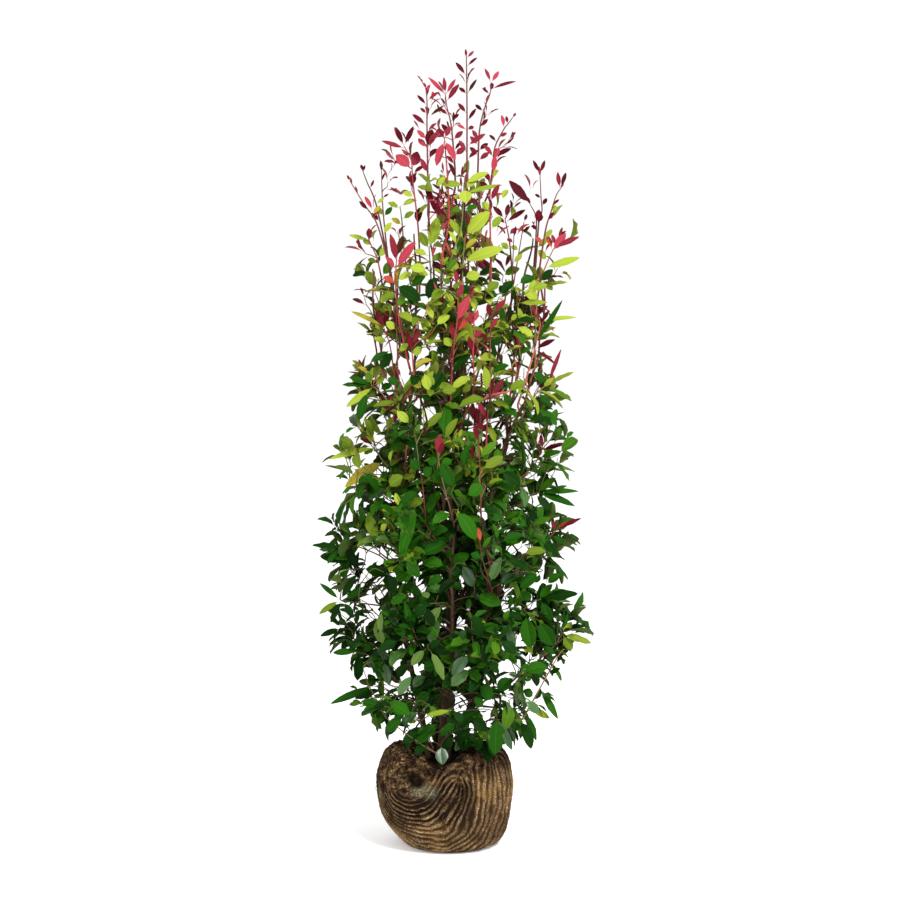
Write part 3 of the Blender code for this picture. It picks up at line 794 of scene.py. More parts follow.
def leaf(foot, axis, normal, length, width, tint, fold=0.25, curl=0.35, wave=0.05, twist=0.0, stalk=0.010, fullness=(0.72, 0.82), mark=False):
    """One leaf: a stalk, then a blade folded along its rib, curled and waved, closed below. Returns False if it has no room."""
    global LEAF_COUNT
    axis = axis.normalized()
    normal = across(axis, normal)
    side = normal.cross(axis)
    blade = max(length - stalk, 0.008)
    t = ALONG
    a, b = fullness
    peak = (a / (a + b)) ** a * (b / (a + b)) ** b
    half = 0.5 * width * (np.maximum(t, 1e-6) ** a * (1 - t) ** b) / peak
    half[0] = 0.0007
    half = np.maximum(half, 0.0006)
    angle = curl * t
    if abs(curl) > 0.02:
        run, drop = blade * np.sin(angle) / curl, -blade * (1 - np.cos(angle)) / curl
    else:
        run, drop = blade * t, -blade * angle * t / 2
    run = run + stalk
    lift = np.abs(ACROSS)
    y = half[:, None] * ACROSS[None, :]
    height = np.abs(y) * math.sin(fold) + half[:, None] * 0.10 * (lift * (1 - lift) * 4)[None, :] * (BELOW[None, :] == 0)
    height += (wave * half * np.sin(t * 15 + twist * 9 + foot.z * 900))[:, None] * (ACROSS * lift)[None, :]
    height -= BELOW[None, :] * (0.00045 + 0.06 * half[:, None])
    height[0] = np.where(BELOW > 0, -0.0010, height[0])
    y = y * math.cos(fold)
    swing = twist * t
    yy = y * np.cos(swing)[:, None] - height * np.sin(swing)[:, None]
    hh = y * np.sin(swing)[:, None] + height * np.cos(swing)[:, None]
    x = run[:, None] + hh * np.sin(angle)[:, None]
    z = drop[:, None] + hh * np.cos(angle)[:, None]
    local = np.empty((LEAF_VERTS, 3))
    local[0] = (0, 0, 0)
    local[1:-1, 0], local[1:-1, 1], local[1:-1, 2] = x.ravel(), yy.ravel(), z.ravel()
    end = curl
    if abs(curl) > 0.02:
        local[-1] = (stalk + blade * math.sin(end) / curl, 0, -blade * (1 - math.cos(end)) / curl)
    else:
        local[-1] = (stalk + blade, 0, -blade * end / 2)
    turn = np.array((axis, side, normal))
    world = local @ turn + np.array(foot)
    low, high = world.min(0), world.max(0)
    if (low[0] < CAD_LOW.x - ROOM or low[1] < CAD_LOW.y - ROOM or high[0] > CAD_HIGH.x + ROOM or high[1] > CAD_HIGH.y + ROOM
            or high[2] > CAD_HIGH.z + ROOM or low[2] < 0.03):
        return False
    # nothing grows into the ball: below its skin, which dips at the front and the back
    if low[2] < 0.275:
        flat = world[world[:, 2] < 0.275]
        r = np.hypot(flat[:, 0] - BALL_X, flat[:, 1])
        azimuth = np.degrees(np.arctan2(flat[:, 1], flat[:, 0] - BALL_X)) % 360
        skin = np.interp(r, (0.0, 0.070, 0.090, 0.100, 0.135, 0.160, 0.170, 0.178), (0.220, 0.222, 0.262, 0.270, 0.262, 0.226, 0.175, 0.0))
        dip = 0.050 * np.exp(-(((azimuth - 262) / 30) ** 2)) + 0.024 * np.exp(-(((azimuth - 90) / 64) ** 2))
        if (flat[:, 2] < skin - dip * ((r > 0.08) & (r < 0.172)) + 0.002).any():
            return False
    if not mark and covers(world):
        return False
    piece_name, first = TINT_PLACE[tint]
    LEAVES[piece_name]["points"].append(world)
    LEAVES[piece_name]["tints"].append(first)
    LEAF_COUNT += 1
    return True


# ------------------------------------------------------------------ the branching rule
def nearest_foothold(tip, way, orders, mass=None, lean=1.1, least=0.03, most=0.7, below=True, drop=None):
    """The point of the skeleton that a shoot to this tip would grow from: near, and behind the tip along its way."""
    place = ARRAY_PLACE[:len(S_place)]
    order = ARRAY_ORDER[:len(S_place)]
    gap = np.array(tip)[None, :] - place
    dist = np.linalg.norm(gap, axis=1)
    cosine = (gap @ np.array(way)) / np.maximum(dist, 1e-6)
    cost = dist * (1 + lean * (1 - cosine))
    cost[~np.isin(order, orders)] += 9
    cost[dist < least] += 9
    cost[dist > most] += 9
    if below:
        cost[place[:, 2] > tip.z - 0.01] += 0.5
    if drop is not None:
        fall = tip.z - place[:, 2]
        cost += np.maximum(drop[0] - fall, 0) * 4 + np.maximum(fall - drop[1], 0) * 2
    return int(cost.argmin())


def grow(tip, way, orders, order, tint, tip_radius=0.0008, step=0.016, mass="", lean=1.1, bend=0.45, foot=None, wobble=0.007, least=0.03, drop=None):
    """A shoot from the best foothold to the tip. It leaves along its bearer, then turns to its own way."""
    if foot is None:
        foot = nearest_foothold(tip, way, orders, mass, lean, least, drop=drop)
    start = S_place[foot].copy()
    gap = tip - start
    span = gap.length
    leave = (S_way[foot] * 0.55 + gap.normalized()).normalized()
    points_raw = [bezier(start, start + leave * span * 0.33, tip - way * span * bend, tip, i / 12) for i in range(13)]
    length = sum((points_raw[i + 1] - points_raw[i]).length for i in range(12))
    count = max(int(length / step), 3)
    seed = dice.uniform(0, 90)
    points = []
    for i in range(count + 1):
        p = bezier(start, start + leave * span * 0.33, tip - way * span * bend, tip, i / count)
        fade = min(i / 3, 1) * (1 - smooth((i / count - 0.8) / 0.2) * 0.7)
        w = Vector((noise.noise(Vector((seed, i * 0.45, 0))), noise.noise(Vector((seed, i * 0.45, 7))), noise.noise(Vector((seed, i * 0.45, 13)))))
        points.append(p + w * wobble * fade)
    numbers = skeleton_path(points[1:], [tip_radius] * count, order, foot, mass)
    chain = {"foot": foot, "numbers": numbers, "order": order, "tint": tint, "points": points, "length": length, "mass": mass, "tip_radius": tip_radius}
    CHAINS.append(chain)
    return chain


def along(chain, s):
    """Place and direction at a distance s back from the shoot's tip."""
    points = chain["points"]
    left = s
    for i in range(len(points) - 1, 0, -1):
        seg = (points[i] - points[i - 1]).length
        if left <= seg or i == 1:
            way = (points[i] - points[i - 1]).normalized()
            return points[i] - way * min(left, seg), way
        left -= seg
    return points[0].copy(), (points[1] - points[0]).normalized()


GOLDEN = math.radians(137.5)


def dress(chain, kinds, outward, size=1.0, bare=0.35, gap=0.018, spread_angle=(42, 72), face_up=0.7, young=3, droop=0.0, most=14, first=0.42, pairs=False):
    """Leaves on a shoot, from its tip down: small and upright at the tip, full size below, then none on the old part.
    kinds = (tint of the youngest, tint of the next, tint of the rest)."""
    count, made = 0, 0
    turn = dice.uniform(0, 2 * math.pi)
    s = 0.001
    reach = chain["length"] * (1 - bare)
    while s < reach and count < most:
        place, way = along(chain, s)
        base = across(way, Vector((0, 0, 1)) if abs(way.z) < 0.9 else Vector((1, 0, 0)))
        other = way.cross(base)
        out = base * math.cos(turn) + other * math.sin(turn)
        age = count / max(young, 1)
        grown = min(first + 0.20 * count, 1.0)
        angle = math.radians(lerp(22 if pairs else 14, dice.uniform(*spread_angle), min(age, 1.0)) + dice.uniform(-8, 8))
        axis = way * math.cos(angle) + out * math.sin(angle)
        axis.z -= droop * grown * dice.uniform(0.4, 1.3)
        axis.normalize()
        tint = kinds[0] if count < young * 0.6 else kinds[1] if count < young * 1.4 else kinds[2]
        if isinstance(tint, (list, tuple)):
            tint = dice.choice(tint)
        red = TINT_PLACE[tint][0] in ("leaves_coral", "leaves_maroon")
        length = size * grown * dice.uniform(0.82, 1.14) * (0.9 if red else 1.0)
        width = length * (dice.uniform(0.18, 0.26) if red and pairs else dice.uniform(0.19, 0.27) if red else dice.uniform(0.34, 0.48))
        natural = across(axis, way)
        sky = (UP * 0.75 + outward * 0.65).normalized()
        want = natural.lerp(across(axis, sky), face_up * min(age * 0.7 + 0.15, 1.0))
        if want.length < 0.1:
            want = natural
        made += leaf(place + out * chain["tip_radius"] * 0.6, axis, want, length, width, tint,
                     fold=dice.uniform(0.12, 0.52) + (0.25 if count < young else 0), curl=dice.uniform(0.05, 0.90), wave=dice.uniform(0.0, 0.26),
                     twist=dice.uniform(-0.50, 0.50), stalk=0.004 + 0.010 * grown)
        if pairs:
            # two to a node and face to face, the next two a quarter round
            turn += math.pi + dice.uniform(-0.2, 0.2) if count % 2 == 0 else math.pi / 2 + dice.uniform(-0.3, 0.3)
            s += 0.002 if count % 2 == 0 else gap * dice.uniform(0.8, 1.3)
        else:
            turn += GOLDEN + dice.uniform(-0.3, 0.3)
            s += gap * (0.55 if count < 3 else 1.0) * dice.uniform(0.75, 1.25)
        count += 1
    chain["made"] = made
    return count


def pick(table):
    total = sum(w for w, _ in table)
    x = dice.uniform(0, total)
    for w, value in table:
        x -= w
        if x <= 0:
            return value
    return table[-1][1]


DARK = ("dark_a", "dark_a", "dark_b", "dark_b", "dark_b", "dark_c", "gloss_b", "dark_d", "dark_d", "gloss_a", "gloss_a", "gloss_b", "gloss_b", "pale_a", "pale_b", "green_b", "green_a", "dark_d")
MIDS = ("dark_b", "dark_c", "dark_d", "green_a", "green_b", "gloss_b", "pale_a")
OLIVE = ("dark_b", "dark_b", "dark_c", "green_a", "green_c", "lime_d", "lime_a")
LIME = ("lime_a", "lime_b", "lime_b", "lime_d", "dark_c", "green_b")
CORAL = ("coral_a", "coral_b", "coral_a", "coral_c")
MAROON = ("maroon_a", "maroon_b", "maroon_c")


def spray_kinds(z):
    """Tints of a shoot by its height: youngest, next, rest. Each shoot has its own, as new growth has."""
    if z < 0.72:
        return pick(((52, ("dark_c", "dark_b", DARK)), (30, ("dark_d", "dark_c", DARK)), (13, ("green_a", "dark_d", DARK)), (5, ("lime_a", "green_b", MIDS))))
    if z < 0.95:
        return pick(((38, ("dark_d", "dark_c", DARK)), (30, ("green_a", "dark_d", DARK)), (16, ("green_b", "green_a", MIDS)),
                     (10, ("lime_b", "lime_d", MIDS)), (6, ("maroon_c", "dark_d", DARK))))
    if z < 1.16:
        return pick(((30, ("green_a", "dark_d", DARK)), (24, ("green_b", "green_a", MIDS)), (24, ("lime_b", "lime_d", OLIVE)),
                     (10, ("lime_c", "lime_a", MIDS)), (12, ("coral_b", "maroon_b", MIDS))))
    if z < 1.34:
        return pick(((16, ("green_b", "green_a", MIDS)), (40, ("lime_b", "lime_a", OLIVE)), (16, ("lime_c", "lime_a", LIME)),
                     (10, ("coral_a", "lime_c", OLIVE)), (18, ("coral_b", "maroon_b", OLIVE))))
    if z < 1.56:
        return pick(((38, ("lime_b", "lime_a", LIME)), (14, ("coral_c", "lime_c", LIME)), (20, ("coral_a", "maroon_c", OLIVE)),
                     (10, ("dark_c", "dark_b", ("dark_a", "dark_b", "dark_c"))), (16, ("maroon_b", "maroon_a", ("dark_b", "green_c")))))
    if z > 1.69:
        return pick(((34, ("coral_a", "coral_b", ("maroon_c", "coral_b"))), (38, ("maroon_c", "maroon_b", ("maroon_a", "maroon_b"))),
                     (28, ("coral_b", "maroon_a", ("maroon_a", "bronze")))))
    return pick(((26, ("coral_a", "coral_b", ("maroon_c", "lime_a"))), (26, ("maroon_c", "maroon_a", ("maroon_b", "bronze"))),
                 (20, ("lime_b", "lime_a", LIME)), (18, ("coral_b", "maroon_b", ("lime_a", "maroon_a")))))


def twig_tint(z, order):
    if z > 1.42:
        return pick(((5, "red_a"), (3, "red_b"), (2, "red_d"), (1, "red_c")))
    if z > 1.1:
        return pick(((4, "tan"), (3, "olive_b"), (4, "red_a"), (2, "red_c"), (2, "brown_b"), (2, "red_b")))
    if z > 0.8:
        return pick(((4, "brown_b"), (3, "olive_b"), (2, "olive_a"), (2, "tan"), (2, "red_a")))
    return pick(((4, "brown_a"), (4, "brown_b"), (2, "brown_c"), (2, "olive_a")))


# ---- shoots that show one by one against the sky, by their place in the picture: foot to tip, then leaves as
# (foot u, v, tip u, v, width in pixels, tint)
SHOOTS = {
    "leader": (0.004, ((467, 164), (467, 107), (466.5, 63), (466, 55)), "red_a", (
        (467, 58, 474, 51, 2.6, "coral_b"), (466, 58, 465.6, 49, 2.4, "maroon_c"), (467.5, 66, 477, 57, 3, "maroon_a"), (465, 78, 455.6, 61.5, 4, "maroon_b"),
        (466, 94, 477, 79, 4, "bronze"), (466, 97, 459, 87, 4, "maroon_a"), (467, 112, 458, 103, 4, "maroon_c"), (467.5, 118, 476, 108, 3.6, "maroon_a"),
        (468, 143, 485, 133, 5, "coral_b"), (467, 133, 457, 124, 4, "coral_a"), (467, 132, 474, 126, 4, "maroon_c"), (467, 152, 459, 140, 5, "coral_b"),
        (467, 160, 478, 150, 5, "maroon_c"))),
    "centre_plume": (0.055, ((455, 168), (452, 132), (450, 119), (447, 107), (445.5, 95)), "red_a", (
        (444, 95, 428, 77, 5, "coral_a"), (445.5, 91, 443.6, 77, 4, "coral_b"), (446, 91, 455.6, 79, 4, "coral_a"), (448, 102, 459, 84, 7, "coral_b"),
        (446, 104, 431, 115, 3.4, "bronze"), (449, 116, 438, 107, 4, "maroon_c"), (450, 122, 459, 113, 4, "maroon_a"), (452, 134, 441, 124, 5, "maroon_b"),
        (453, 142, 463, 131, 5, "coral_b"), (454, 150, 443, 146, 5, "coral_a"), (454, 158, 465, 147, 6, "coral_b"), (453, 150, 462, 141, 5, "maroon_b"), (455, 166, 447, 155, 5, "coral_b"))),
    "left_plume": (-0.030, ((428, 186), (427, 126), (427, 101), (425.5, 87)), "red_a", (
        (426, 89, 424, 82, 3, "coral_b"), (427, 92, 430, 84, 3, "coral_a"), (429, 101, 439, 91, 4, "coral_b"), (426, 106, 417, 94.5, 3.6, "maroon_a"),
        (427, 113, 420, 108, 3.6, "maroon_c"), (426, 127, 412, 113, 4.4, "maroon_c"), (427, 136, 436, 122, 4, "coral_b"), (427, 140, 417, 130, 5, "coral_a"),
        (414, 151, 432, 129, 9, "maroon_a"), (428, 160, 437, 148, 5, "maroon_b"), (428, 172, 421, 158, 5, "coral_b"), (428, 150, 418, 138, 5, "coral_a"), (428, 146, 436, 132, 5, "coral_b"))),
    "left_fan": (0.015, ((420, 262), (418, 226), (413, 182), (411, 160), (404, 146)), "red_b", (
        (407, 145, 396, 127, 4.6, "maroon_a"), (397, 142, 394, 127, 4, "coral_a"), (403, 149, 381, 141, 5.4, "coral_b"), (411, 142, 413.5, 126, 5, "maroon_b"),
        (411.6, 169, 396, 154, 11, "coral_a"), (412, 169, 418, 151, 10, "coral_b"), (413, 189, 413, 173, 6, "maroon_c"), (417, 226, 419, 206, 8, "maroon_a"),
        (413, 176, 424, 164, 5, "maroon_c"), (415, 200, 403, 192, 6, "lime_b"), (417, 214, 428, 204, 7, "lime_a"), (409, 156, 401, 149, 4, "coral_c"))),
    "coral_pair": (-0.070, ((449, 206), (447, 170), (445, 146), (444.5, 138)), "red_b", (
        (444.5, 140, 436, 166, 8.5, "coral_a"), (445, 140, 456, 160, 8.5, "coral_a"), (446, 158, 457, 176, 6, "maroon_b"), (444.5, 139, 450, 126, 5, "coral_b"),
        (444.5, 140, 439, 128, 4.6, "maroon_c"), (447, 176, 437, 186, 6, "lime_b"))),
    "right_plume": (0.040, ((478, 168), (479.5, 131), (485, 107), (490, 94), (491, 83)), "red_a", (
        (491, 82, 485, 68, 4, "coral_b"), (491, 82, 499, 71, 4, "coral_a"), (492, 90, 516, 79, 3.6, "maroon_c"), (485, 106, 489, 94, 4, "coral_a"),
        (490, 95, 482, 88, 3.6, "maroon_b"), (483, 113, 475, 104, 3.6, "maroon_a"), (480, 128, 488, 119, 4, "maroon_c"), (480, 138, 472, 130, 4.6, "coral_b"),
        (479, 150, 488, 143, 5, "maroon_a"), (480, 147, 470, 136, 4.4, "coral_a"), (479, 155, 470, 147, 5, "coral_b"), (479, 162, 489, 152, 5, "coral_b"))),
    "right_twig": (-0.035, ((493, 166), (495, 147), (504, 129), (508, 124), (513, 117)), "red_a", (
        (513, 118, 516, 113, 2.6, "coral_b"), (503, 129, 502, 114, 4, "coral_a"), (508, 124, 506, 116, 3, "maroon_c"), (497, 143, 489, 135, 4, "maroon_a"),
        (499, 138, 507, 133, 4, "coral_b"))),
    "red_spray": (-0.055, ((491, 262), (490, 196), (493, 175), (494, 158)), "red_b", (
        (494, 157, 511, 146, 6, "maroon_a"), (493, 156, 484, 144, 5, "coral_b"), (494, 176, 494, 155, 7, "coral_a"), (493, 160, 499, 147, 5, "coral_a"),
        (490, 200, 499, 184, 6, "coral_b"), (492, 182, 484, 172, 5, "maroon_c"), (491, 190, 480, 182, 6, "maroon_b"), (490, 196, 503, 194, 3.4, "coral_c"),
        (490, 214, 482, 202, 7, "lime_b"), (490, 226, 501, 216, 7, "lime_a"))),
    "far_left_a": (-0.020, ((388, 262), (377, 224), (364, 204), (350, 181)), "red_a", (
        (350, 182, 347, 175, 2.6, "maroon_c"), (352, 184, 350, 177, 2, "coral_b"), (357, 193, 355, 186, 2.2, "coral_b"), (368, 210, 359, 201, 4, "maroon_b"),
        (371, 216, 380, 205, 5, "lime_c"), (372, 219, 379, 209, 4, "coral_c"))),
    "far_left_b": (-0.012, ((386, 250), (376, 204), (367, 182), (362.5, 170)), "red_d", (
        (363, 172, 361, 164, 3, "maroon_b"), (363, 172, 365, 165, 2, "maroon_a"), (370, 188, 374, 180, 2.4, "maroon_c"), (376, 205, 384, 198, 4, "lime_b"),
        (380, 222, 371, 213, 5, "maroon_b"), (382, 232, 391, 222, 6, "lime_b"))),
    "far_left_c": (-0.004, ((389, 268), (383, 210), (381.5, 170)), "red_a", (
        (381.5, 172, 381, 160, 3.4, "bronze"), (382, 180, 385, 172, 2.6, "maroon_a"), (384, 215, 392, 207, 5, "dark_c"), (384, 216, 377, 206, 5, "lime_d"),
        (387, 200, 389, 194, 2.6, "maroon_b"))),
    "left_bud": (0.060, ((381, 276), (377, 258), (369, 240), (369, 234)), "red_b", (
        (369, 243, 369, 228, 7, "coral_b"), (369, 240, 349, 235, 5, "lime_b"), (372, 246, 363, 239, 5, "lime_a"), (378, 258, 388, 247, 7, "lime_b"),
        (379, 263, 368, 259, 6, "lime_d"))),
    "coral_spray": (-0.085, ((398, 310), (396, 290), (396, 268), (397, 256)), "red_b", (
        (396, 268, 415, 241, 8.5, "coral_a"), (396, 262, 391, 234, 7, "coral_b"), (397, 258, 403, 235, 6, "bronze"), (396, 270, 386, 256, 7, "coral_a"),
        (397, 282, 411, 272, 7, "lime_b"), (397, 284, 384, 276, 7, "coral_c"), (397, 298, 386, 292, 8, "lime_a"), (397, 262, 408, 252, 6, "coral_b"))),
    "right_mast": (0.030, ((536, 262), (539, 221), (542, 211), (541, 196), (540, 174)), "red_a", (
        (540, 174, 533, 160, 3.6, "maroon_a"), (540, 174, 545, 160, 3.6, "maroon_b"), (540, 178, 539, 166, 3, "coral_b"), (539.4, 226, 539, 210, 7, "maroon_c"),
        (541, 206, 547, 198, 4, "maroon_a"), (541, 199, 535, 194, 3, "maroon_b"), (540, 232, 531, 226, 6, "maroon_b"), (538, 246, 547, 238, 6, "lime_a"))),
    "far_right_mast": (-0.030, ((541, 258), (546, 228), (551, 212), (556, 196), (561, 188)), "red_a", (
        (558.5, 188, 557.6, 172, 4.4, "coral_b"), (559.5, 188, 566, 172, 4, "maroon_a"), (560, 189, 564, 183, 3.4, "coral_a"), (553, 206, 559, 199, 3, "maroon_b"),
        (548, 222, 554, 212, 4, "maroon_c"), (545, 238, 552, 229, 5, "lime_a"), (544, 243, 536, 237, 5, "coral_c"))),
    "big_maroon": (0.060, ((534, 266), (536, 236), (536, 217), (530, 204)), "red_d", (
        (528, 203, 509, 180, 9, "maroon_a"), (531, 206, 526, 196, 3.4, "maroon_b"), (536, 224, 543, 216, 4, "maroon_b"))),
    "maroon_trio": (0.085, ((513, 284), (510, 246), (507, 228), (505, 219)), "red_a", (
        (505, 218, 493, 206, 5, "maroon_b"), (505, 217, 509, 203, 4.6, "maroon_c"), (506, 222, 526, 208, 5, "maroon_a"), (506, 224, 498, 218, 4.6, "maroon_c"),
        (508, 236, 517, 228, 5, "coral_b"), (510, 250, 501, 243, 6, "lime_b"))),
    "right_spray": (-0.015, ((536, 312), (540, 284), (545, 268), (552, 252), (556, 246)), "tan", (
        (550, 252, 566, 233, 8, "coral_a"), (557, 250, 579, 236, 6, "coral_b"), (545, 268, 580, 257, 8, "lime_b"), (552, 250, 546, 232, 6, "coral_c"),
        (556, 247, 552, 234, 4, "coral_b"), (548, 262, 538, 250, 7, "lime_a"), (543, 277, 529, 291, 10, "lime_b"), (542, 280, 553, 290, 7, "lime_d"),
        (541, 284, 528, 278, 8, "lime_b"))),
    "upright_a": (0.066, ((510, 310), (514, 282), (524, 222)), "red_a", ((524, 224, 527, 214, 3, "maroon_b"), (522, 234, 530, 226, 4, "maroon_a"), (519, 252, 511, 246, 5, "lime_a"))),
    "upright_b": (0.040, ((511, 306), (512, 282), (514, 234)), "red_a", ((514, 236, 516, 226, 3, "maroon_c"), (514, 246, 507, 238, 4, "coral_b"), (513, 262, 522, 254, 5, "lime_b"))),
    "lime_top_a": (-0.075, ((462, 222), (464, 196), (465, 184)), "olive_b", (
        (466, 184, 488, 170, 8, "lime_b"), (464, 186, 440, 182, 10, "lime_a"), (465, 190, 476, 178, 7, "lime_b"), (464, 200, 453, 196, 7, "lime_c"),
        (440, 185, 466, 203, 12, "lime_b"), (466, 194, 504, 182, 5, "lime_a"), (463, 208, 478, 206, 7, "dark_d"), (463, 210, 452, 210, 7, "green_b"))),
    "lime_top_b": (-0.066, ((462, 290), (463, 262), (465, 236)), "olive_b", (
        (465, 236, 489, 211, 14, "lime_b"), (465, 262, 503, 246, 12, "lime_b"), (464, 240, 449, 217, 9, "lime_a"), (464, 250, 476, 238, 8, "lime_c"),
        (463, 268, 446, 262, 9, "lime_a"), (463, 276, 480, 274, 10, "lime_b"))),
    "lime_top_c": (-0.055, ((432, 296), (430, 262), (429, 246)), "olive_a", (
        (429, 248, 438.5, 216, 11, "lime_a"), (429, 250, 420, 232, 8, "green_c"), (429, 256, 414, 250, 8, "lime_b"), (430, 262, 444, 254, 8, "lime_d"),
        (431, 274, 418, 272, 9, "lime_b"))),
    "lime_top_d": (0.030, ((404, 250), (402, 222), (400, 206)), "olive_b", (
        (400, 206, 416, 199, 7, "lime_b"), (400, 208, 388, 202, 6, "lime_a"), (402, 220, 414, 212, 7, "lime_a"), (402, 226, 392, 218, 6, "lime_c"))),
    # middle: tips that stand clear at the sides
    "mid_coral": (None, ((451, 394), (452, 368), (454, 345), (457, 322), (458, 300), (457, 280)), "red_b", (
        (458, 322, 469, 296, 8, "coral_a"), (457, 286, 455.5, 270, 4, "coral_b"), (458, 300, 463, 284, 4.6, "coral_b"), (456, 334, 474, 311, 6, "coral_c"),
        (455, 342, 451, 322, 5, "coral_b"), (453, 360, 450, 343, 5, "maroon_c"), (456, 330, 463, 314, 6, "coral_b"), (455, 348, 444, 338, 8, "lime_a"))),
    "mid_red_fork": (-0.125, ((486, 446), (488, 412), (492, 392)), "red_b", (
        (490, 400, 492, 376, 5, "coral_b"), (492, 400, 504, 378, 5, "coral_b"), (487, 420, 478, 402, 6, "coral_b"), (486, 432, 476, 424, 6, "maroon_c"))),
    "mid_red": (None, ((490, 394), (490, 360), (491, 326), (493, 312)), "red_a", (
        (493, 314, 506, 299, 5.5, "coral_b"), (492, 318, 487, 304, 5, "maroon_c"), (491, 342, 480, 334, 7, "maroon_b"), (491, 330, 497, 318, 5, "coral_b"),
        (491, 345, 502, 338, 8, "dark_b"), (490, 372, 508, 363, 9, "dark_c"))),
    "front_crimson": (None, ((472, 404), (474, 380), (473, 356), (474, 334), (474, 322)), "red_b", (
        (474, 326, 469, 312, 4.4, "coral_b"), (474, 324, 478, 310, 4, "coral_a"), (473.5, 352, 468.5, 336, 5, "maroon_c"), (473, 362, 474, 342, 6.5, "maroon_b"),
        (474, 340, 481, 330, 4.6, "coral_b"), (474, 384, 462, 392, 7, "lime_d"))),
    "front_long": (None, ((488, 556), (482, 524), (480.5, 500), (480, 470), (478.5, 440), (478, 424)), "red_a", (
        (478, 428, 477.5, 407, 5, "coral_b"), (478, 427, 471, 404, 5, "coral_b"), (478, 427, 486, 412, 5, "coral_a"), (478.5, 440, 474, 424, 4.6, "maroon_c"),
        (479, 452, 496, 441, 8, "green_b"), (480, 500, 497, 512, 11, "dark_b"), (481, 548, 494, 534, 10, "dark_c"))),
    "front_left_a": (None, ((404, 408), (401, 388), (398, 372), (397, 340), (396, 300), (395, 274)), "red_a", (
        (396, 286, 421, 301, 13, "dark_b"), (396, 292, 382, 300, 8, "lime_d"), (397, 332, 386, 322, 8, "lime_b"), (398, 354, 408, 343, 7, "lime_a"),
        (396, 308, 405, 294, 7, "green_b"), (400, 386, 388, 378, 9, "dark_c"))),
    "front_left_b": (None, ((414, 376), (412, 352), (411, 338)), "red_b", (
        (411, 342, 405, 332, 5, "coral_b"), (412, 345, 420, 330, 5.4, "coral_b"), (412, 352, 409, 336, 5, "maroon_c"), (412, 358, 421, 346, 7, "lime_a"))),
    "front_bud": (None, ((493, 596), (488, 578), (482, 557), (480, 542)), "red_d", (
        (480.5, 544, 478.5, 527, 4.6, "coral_c"), (482, 550, 491, 537, 6, "green_a"), (483, 560, 471, 553, 8, "dark_c"), (489, 584, 502, 557, 10, "gloss_b"))),
    "front_stub": (None, ((450, 592), (451, 578), (451.5, 562)), "red_a", ((451, 561, 447, 549, 7, "dark_c"), (450, 584, 462, 588, 9, "dark_d"))),
    "front_mid": (None, ((426, 522), (424, 500), (422, 480), (420, 470)), "red_a", ((420, 472, 411, 460, 10, "dark_c"), (421, 478, 431, 467, 9, "dark_d"))),
    "mid_right_red": (-0.020, ((518, 404), (524, 386), (530, 366), (536, 344), (540, 326), (539, 318)), "red_c", (
        (539, 322, 532, 304, 4.4, "coral_b"), (541, 322, 577, 314, 5, "lime_b"), (540, 324, 549, 310, 4, "maroon_b"), (540, 350, 555, 339, 6, "maroon_b"),
        (541, 350, 557, 364, 5, "maroon_c"), (536, 346, 509, 355, 7, "green_a"), (537, 342, 563, 300, 5, "dark_c"))),
    "mid_right_low": (-0.060, ((520, 420), (534, 396), (548, 384)), "tan", (
        (548, 384, 573, 371, 6, "lime_a"), (545, 378, 534, 372, 8, "dark_c"), (548, 388, 573, 400, 6, "green_b"), (544, 390, 553, 378, 6, "lime_b"),
        (540, 394, 551, 408, 8, "dark_c"), (552, 372, 561, 348, 4, "coral_b"))),
    "mid_left_red": (-0.040, ((400, 410), (396, 388), (390, 346), (383, 326)), "red_b", (
        (383, 330, 376, 309, 6, "coral_b"), (383, 328, 388, 310, 5, "maroon_c"), (381, 318, 351, 310, 5, "lime_c"), (384, 334, 396, 322, 6, "coral_b"),
        (386, 342, 374, 338, 6, "lime_b"), (390, 352, 371, 362, 8, "dark_c"))),
    "mid_left_whorl": (-0.030, ((396, 420), (384, 396), (371, 385)), "tan", (
        (371, 385, 342, 384, 6, "dark_c"), (370, 386, 350, 376, 7, "dark_c"), (372, 388, 358, 398, 7, "dark_b"), (372, 388, 346, 407, 7, "lime_b"),
        (374, 388, 384, 374, 7, "lime_a"), (374, 384, 366, 371, 6, "green_b"), (378, 392, 392, 384, 8, "dark_c"))),
    "left_lime": (-0.050, ((399, 474), (386, 464), (378, 453), (374, 440)), "olive_b", (
        (378, 440, 365, 418, 11, "lime_a"), (373, 446, 366, 430, 6, "lime_b"), (372, 448, 328, 456, 7, "lime_b"), (382, 462, 344, 485, 14, "lime_c"),
        (372, 446, 360, 438, 5, "coral_b"), (378, 448, 364, 454, 7, "green_b"))),
    "red_bud": (None, ((456, 548), (453, 520), (446, 494), (441, 474), (438.5, 458), (438, 450)), "brown_b", (
        (438, 456, 438.5, 434, 7, "coral_b"), (438, 456, 444, 442, 5, "maroon_c"), (439, 464, 428, 460, 9, "dark_c"), (439, 466, 452, 460, 9, "dark_d"))),
    "right_coral": (0.010, ((522, 478), (536, 462), (541, 450)), "red_b", (
        (541, 450, 541, 434, 5, "coral_b"), (542, 450, 566, 443, 5, "maroon_c"), (540, 452, 556, 452, 8, "green_c"), (538, 458, 561, 450, 7, "dark_d"))),
    "right_fan": (-0.040, ((512, 508), (526, 498), (538, 492)), "brown_b", (
        (538, 492, 579, 491, 8, "dark_d"), (538, 494, 577, 504, 9, "dark_c"), (536, 490, 556, 478, 8, "green_a"), (536, 496, 552, 510, 8, "dark_b"),
        (534, 492, 548, 472, 8, "dark_c"))),
    "right_bud": (0.030, ((528, 552), (546, 540), (556, 530)), "red_b", (
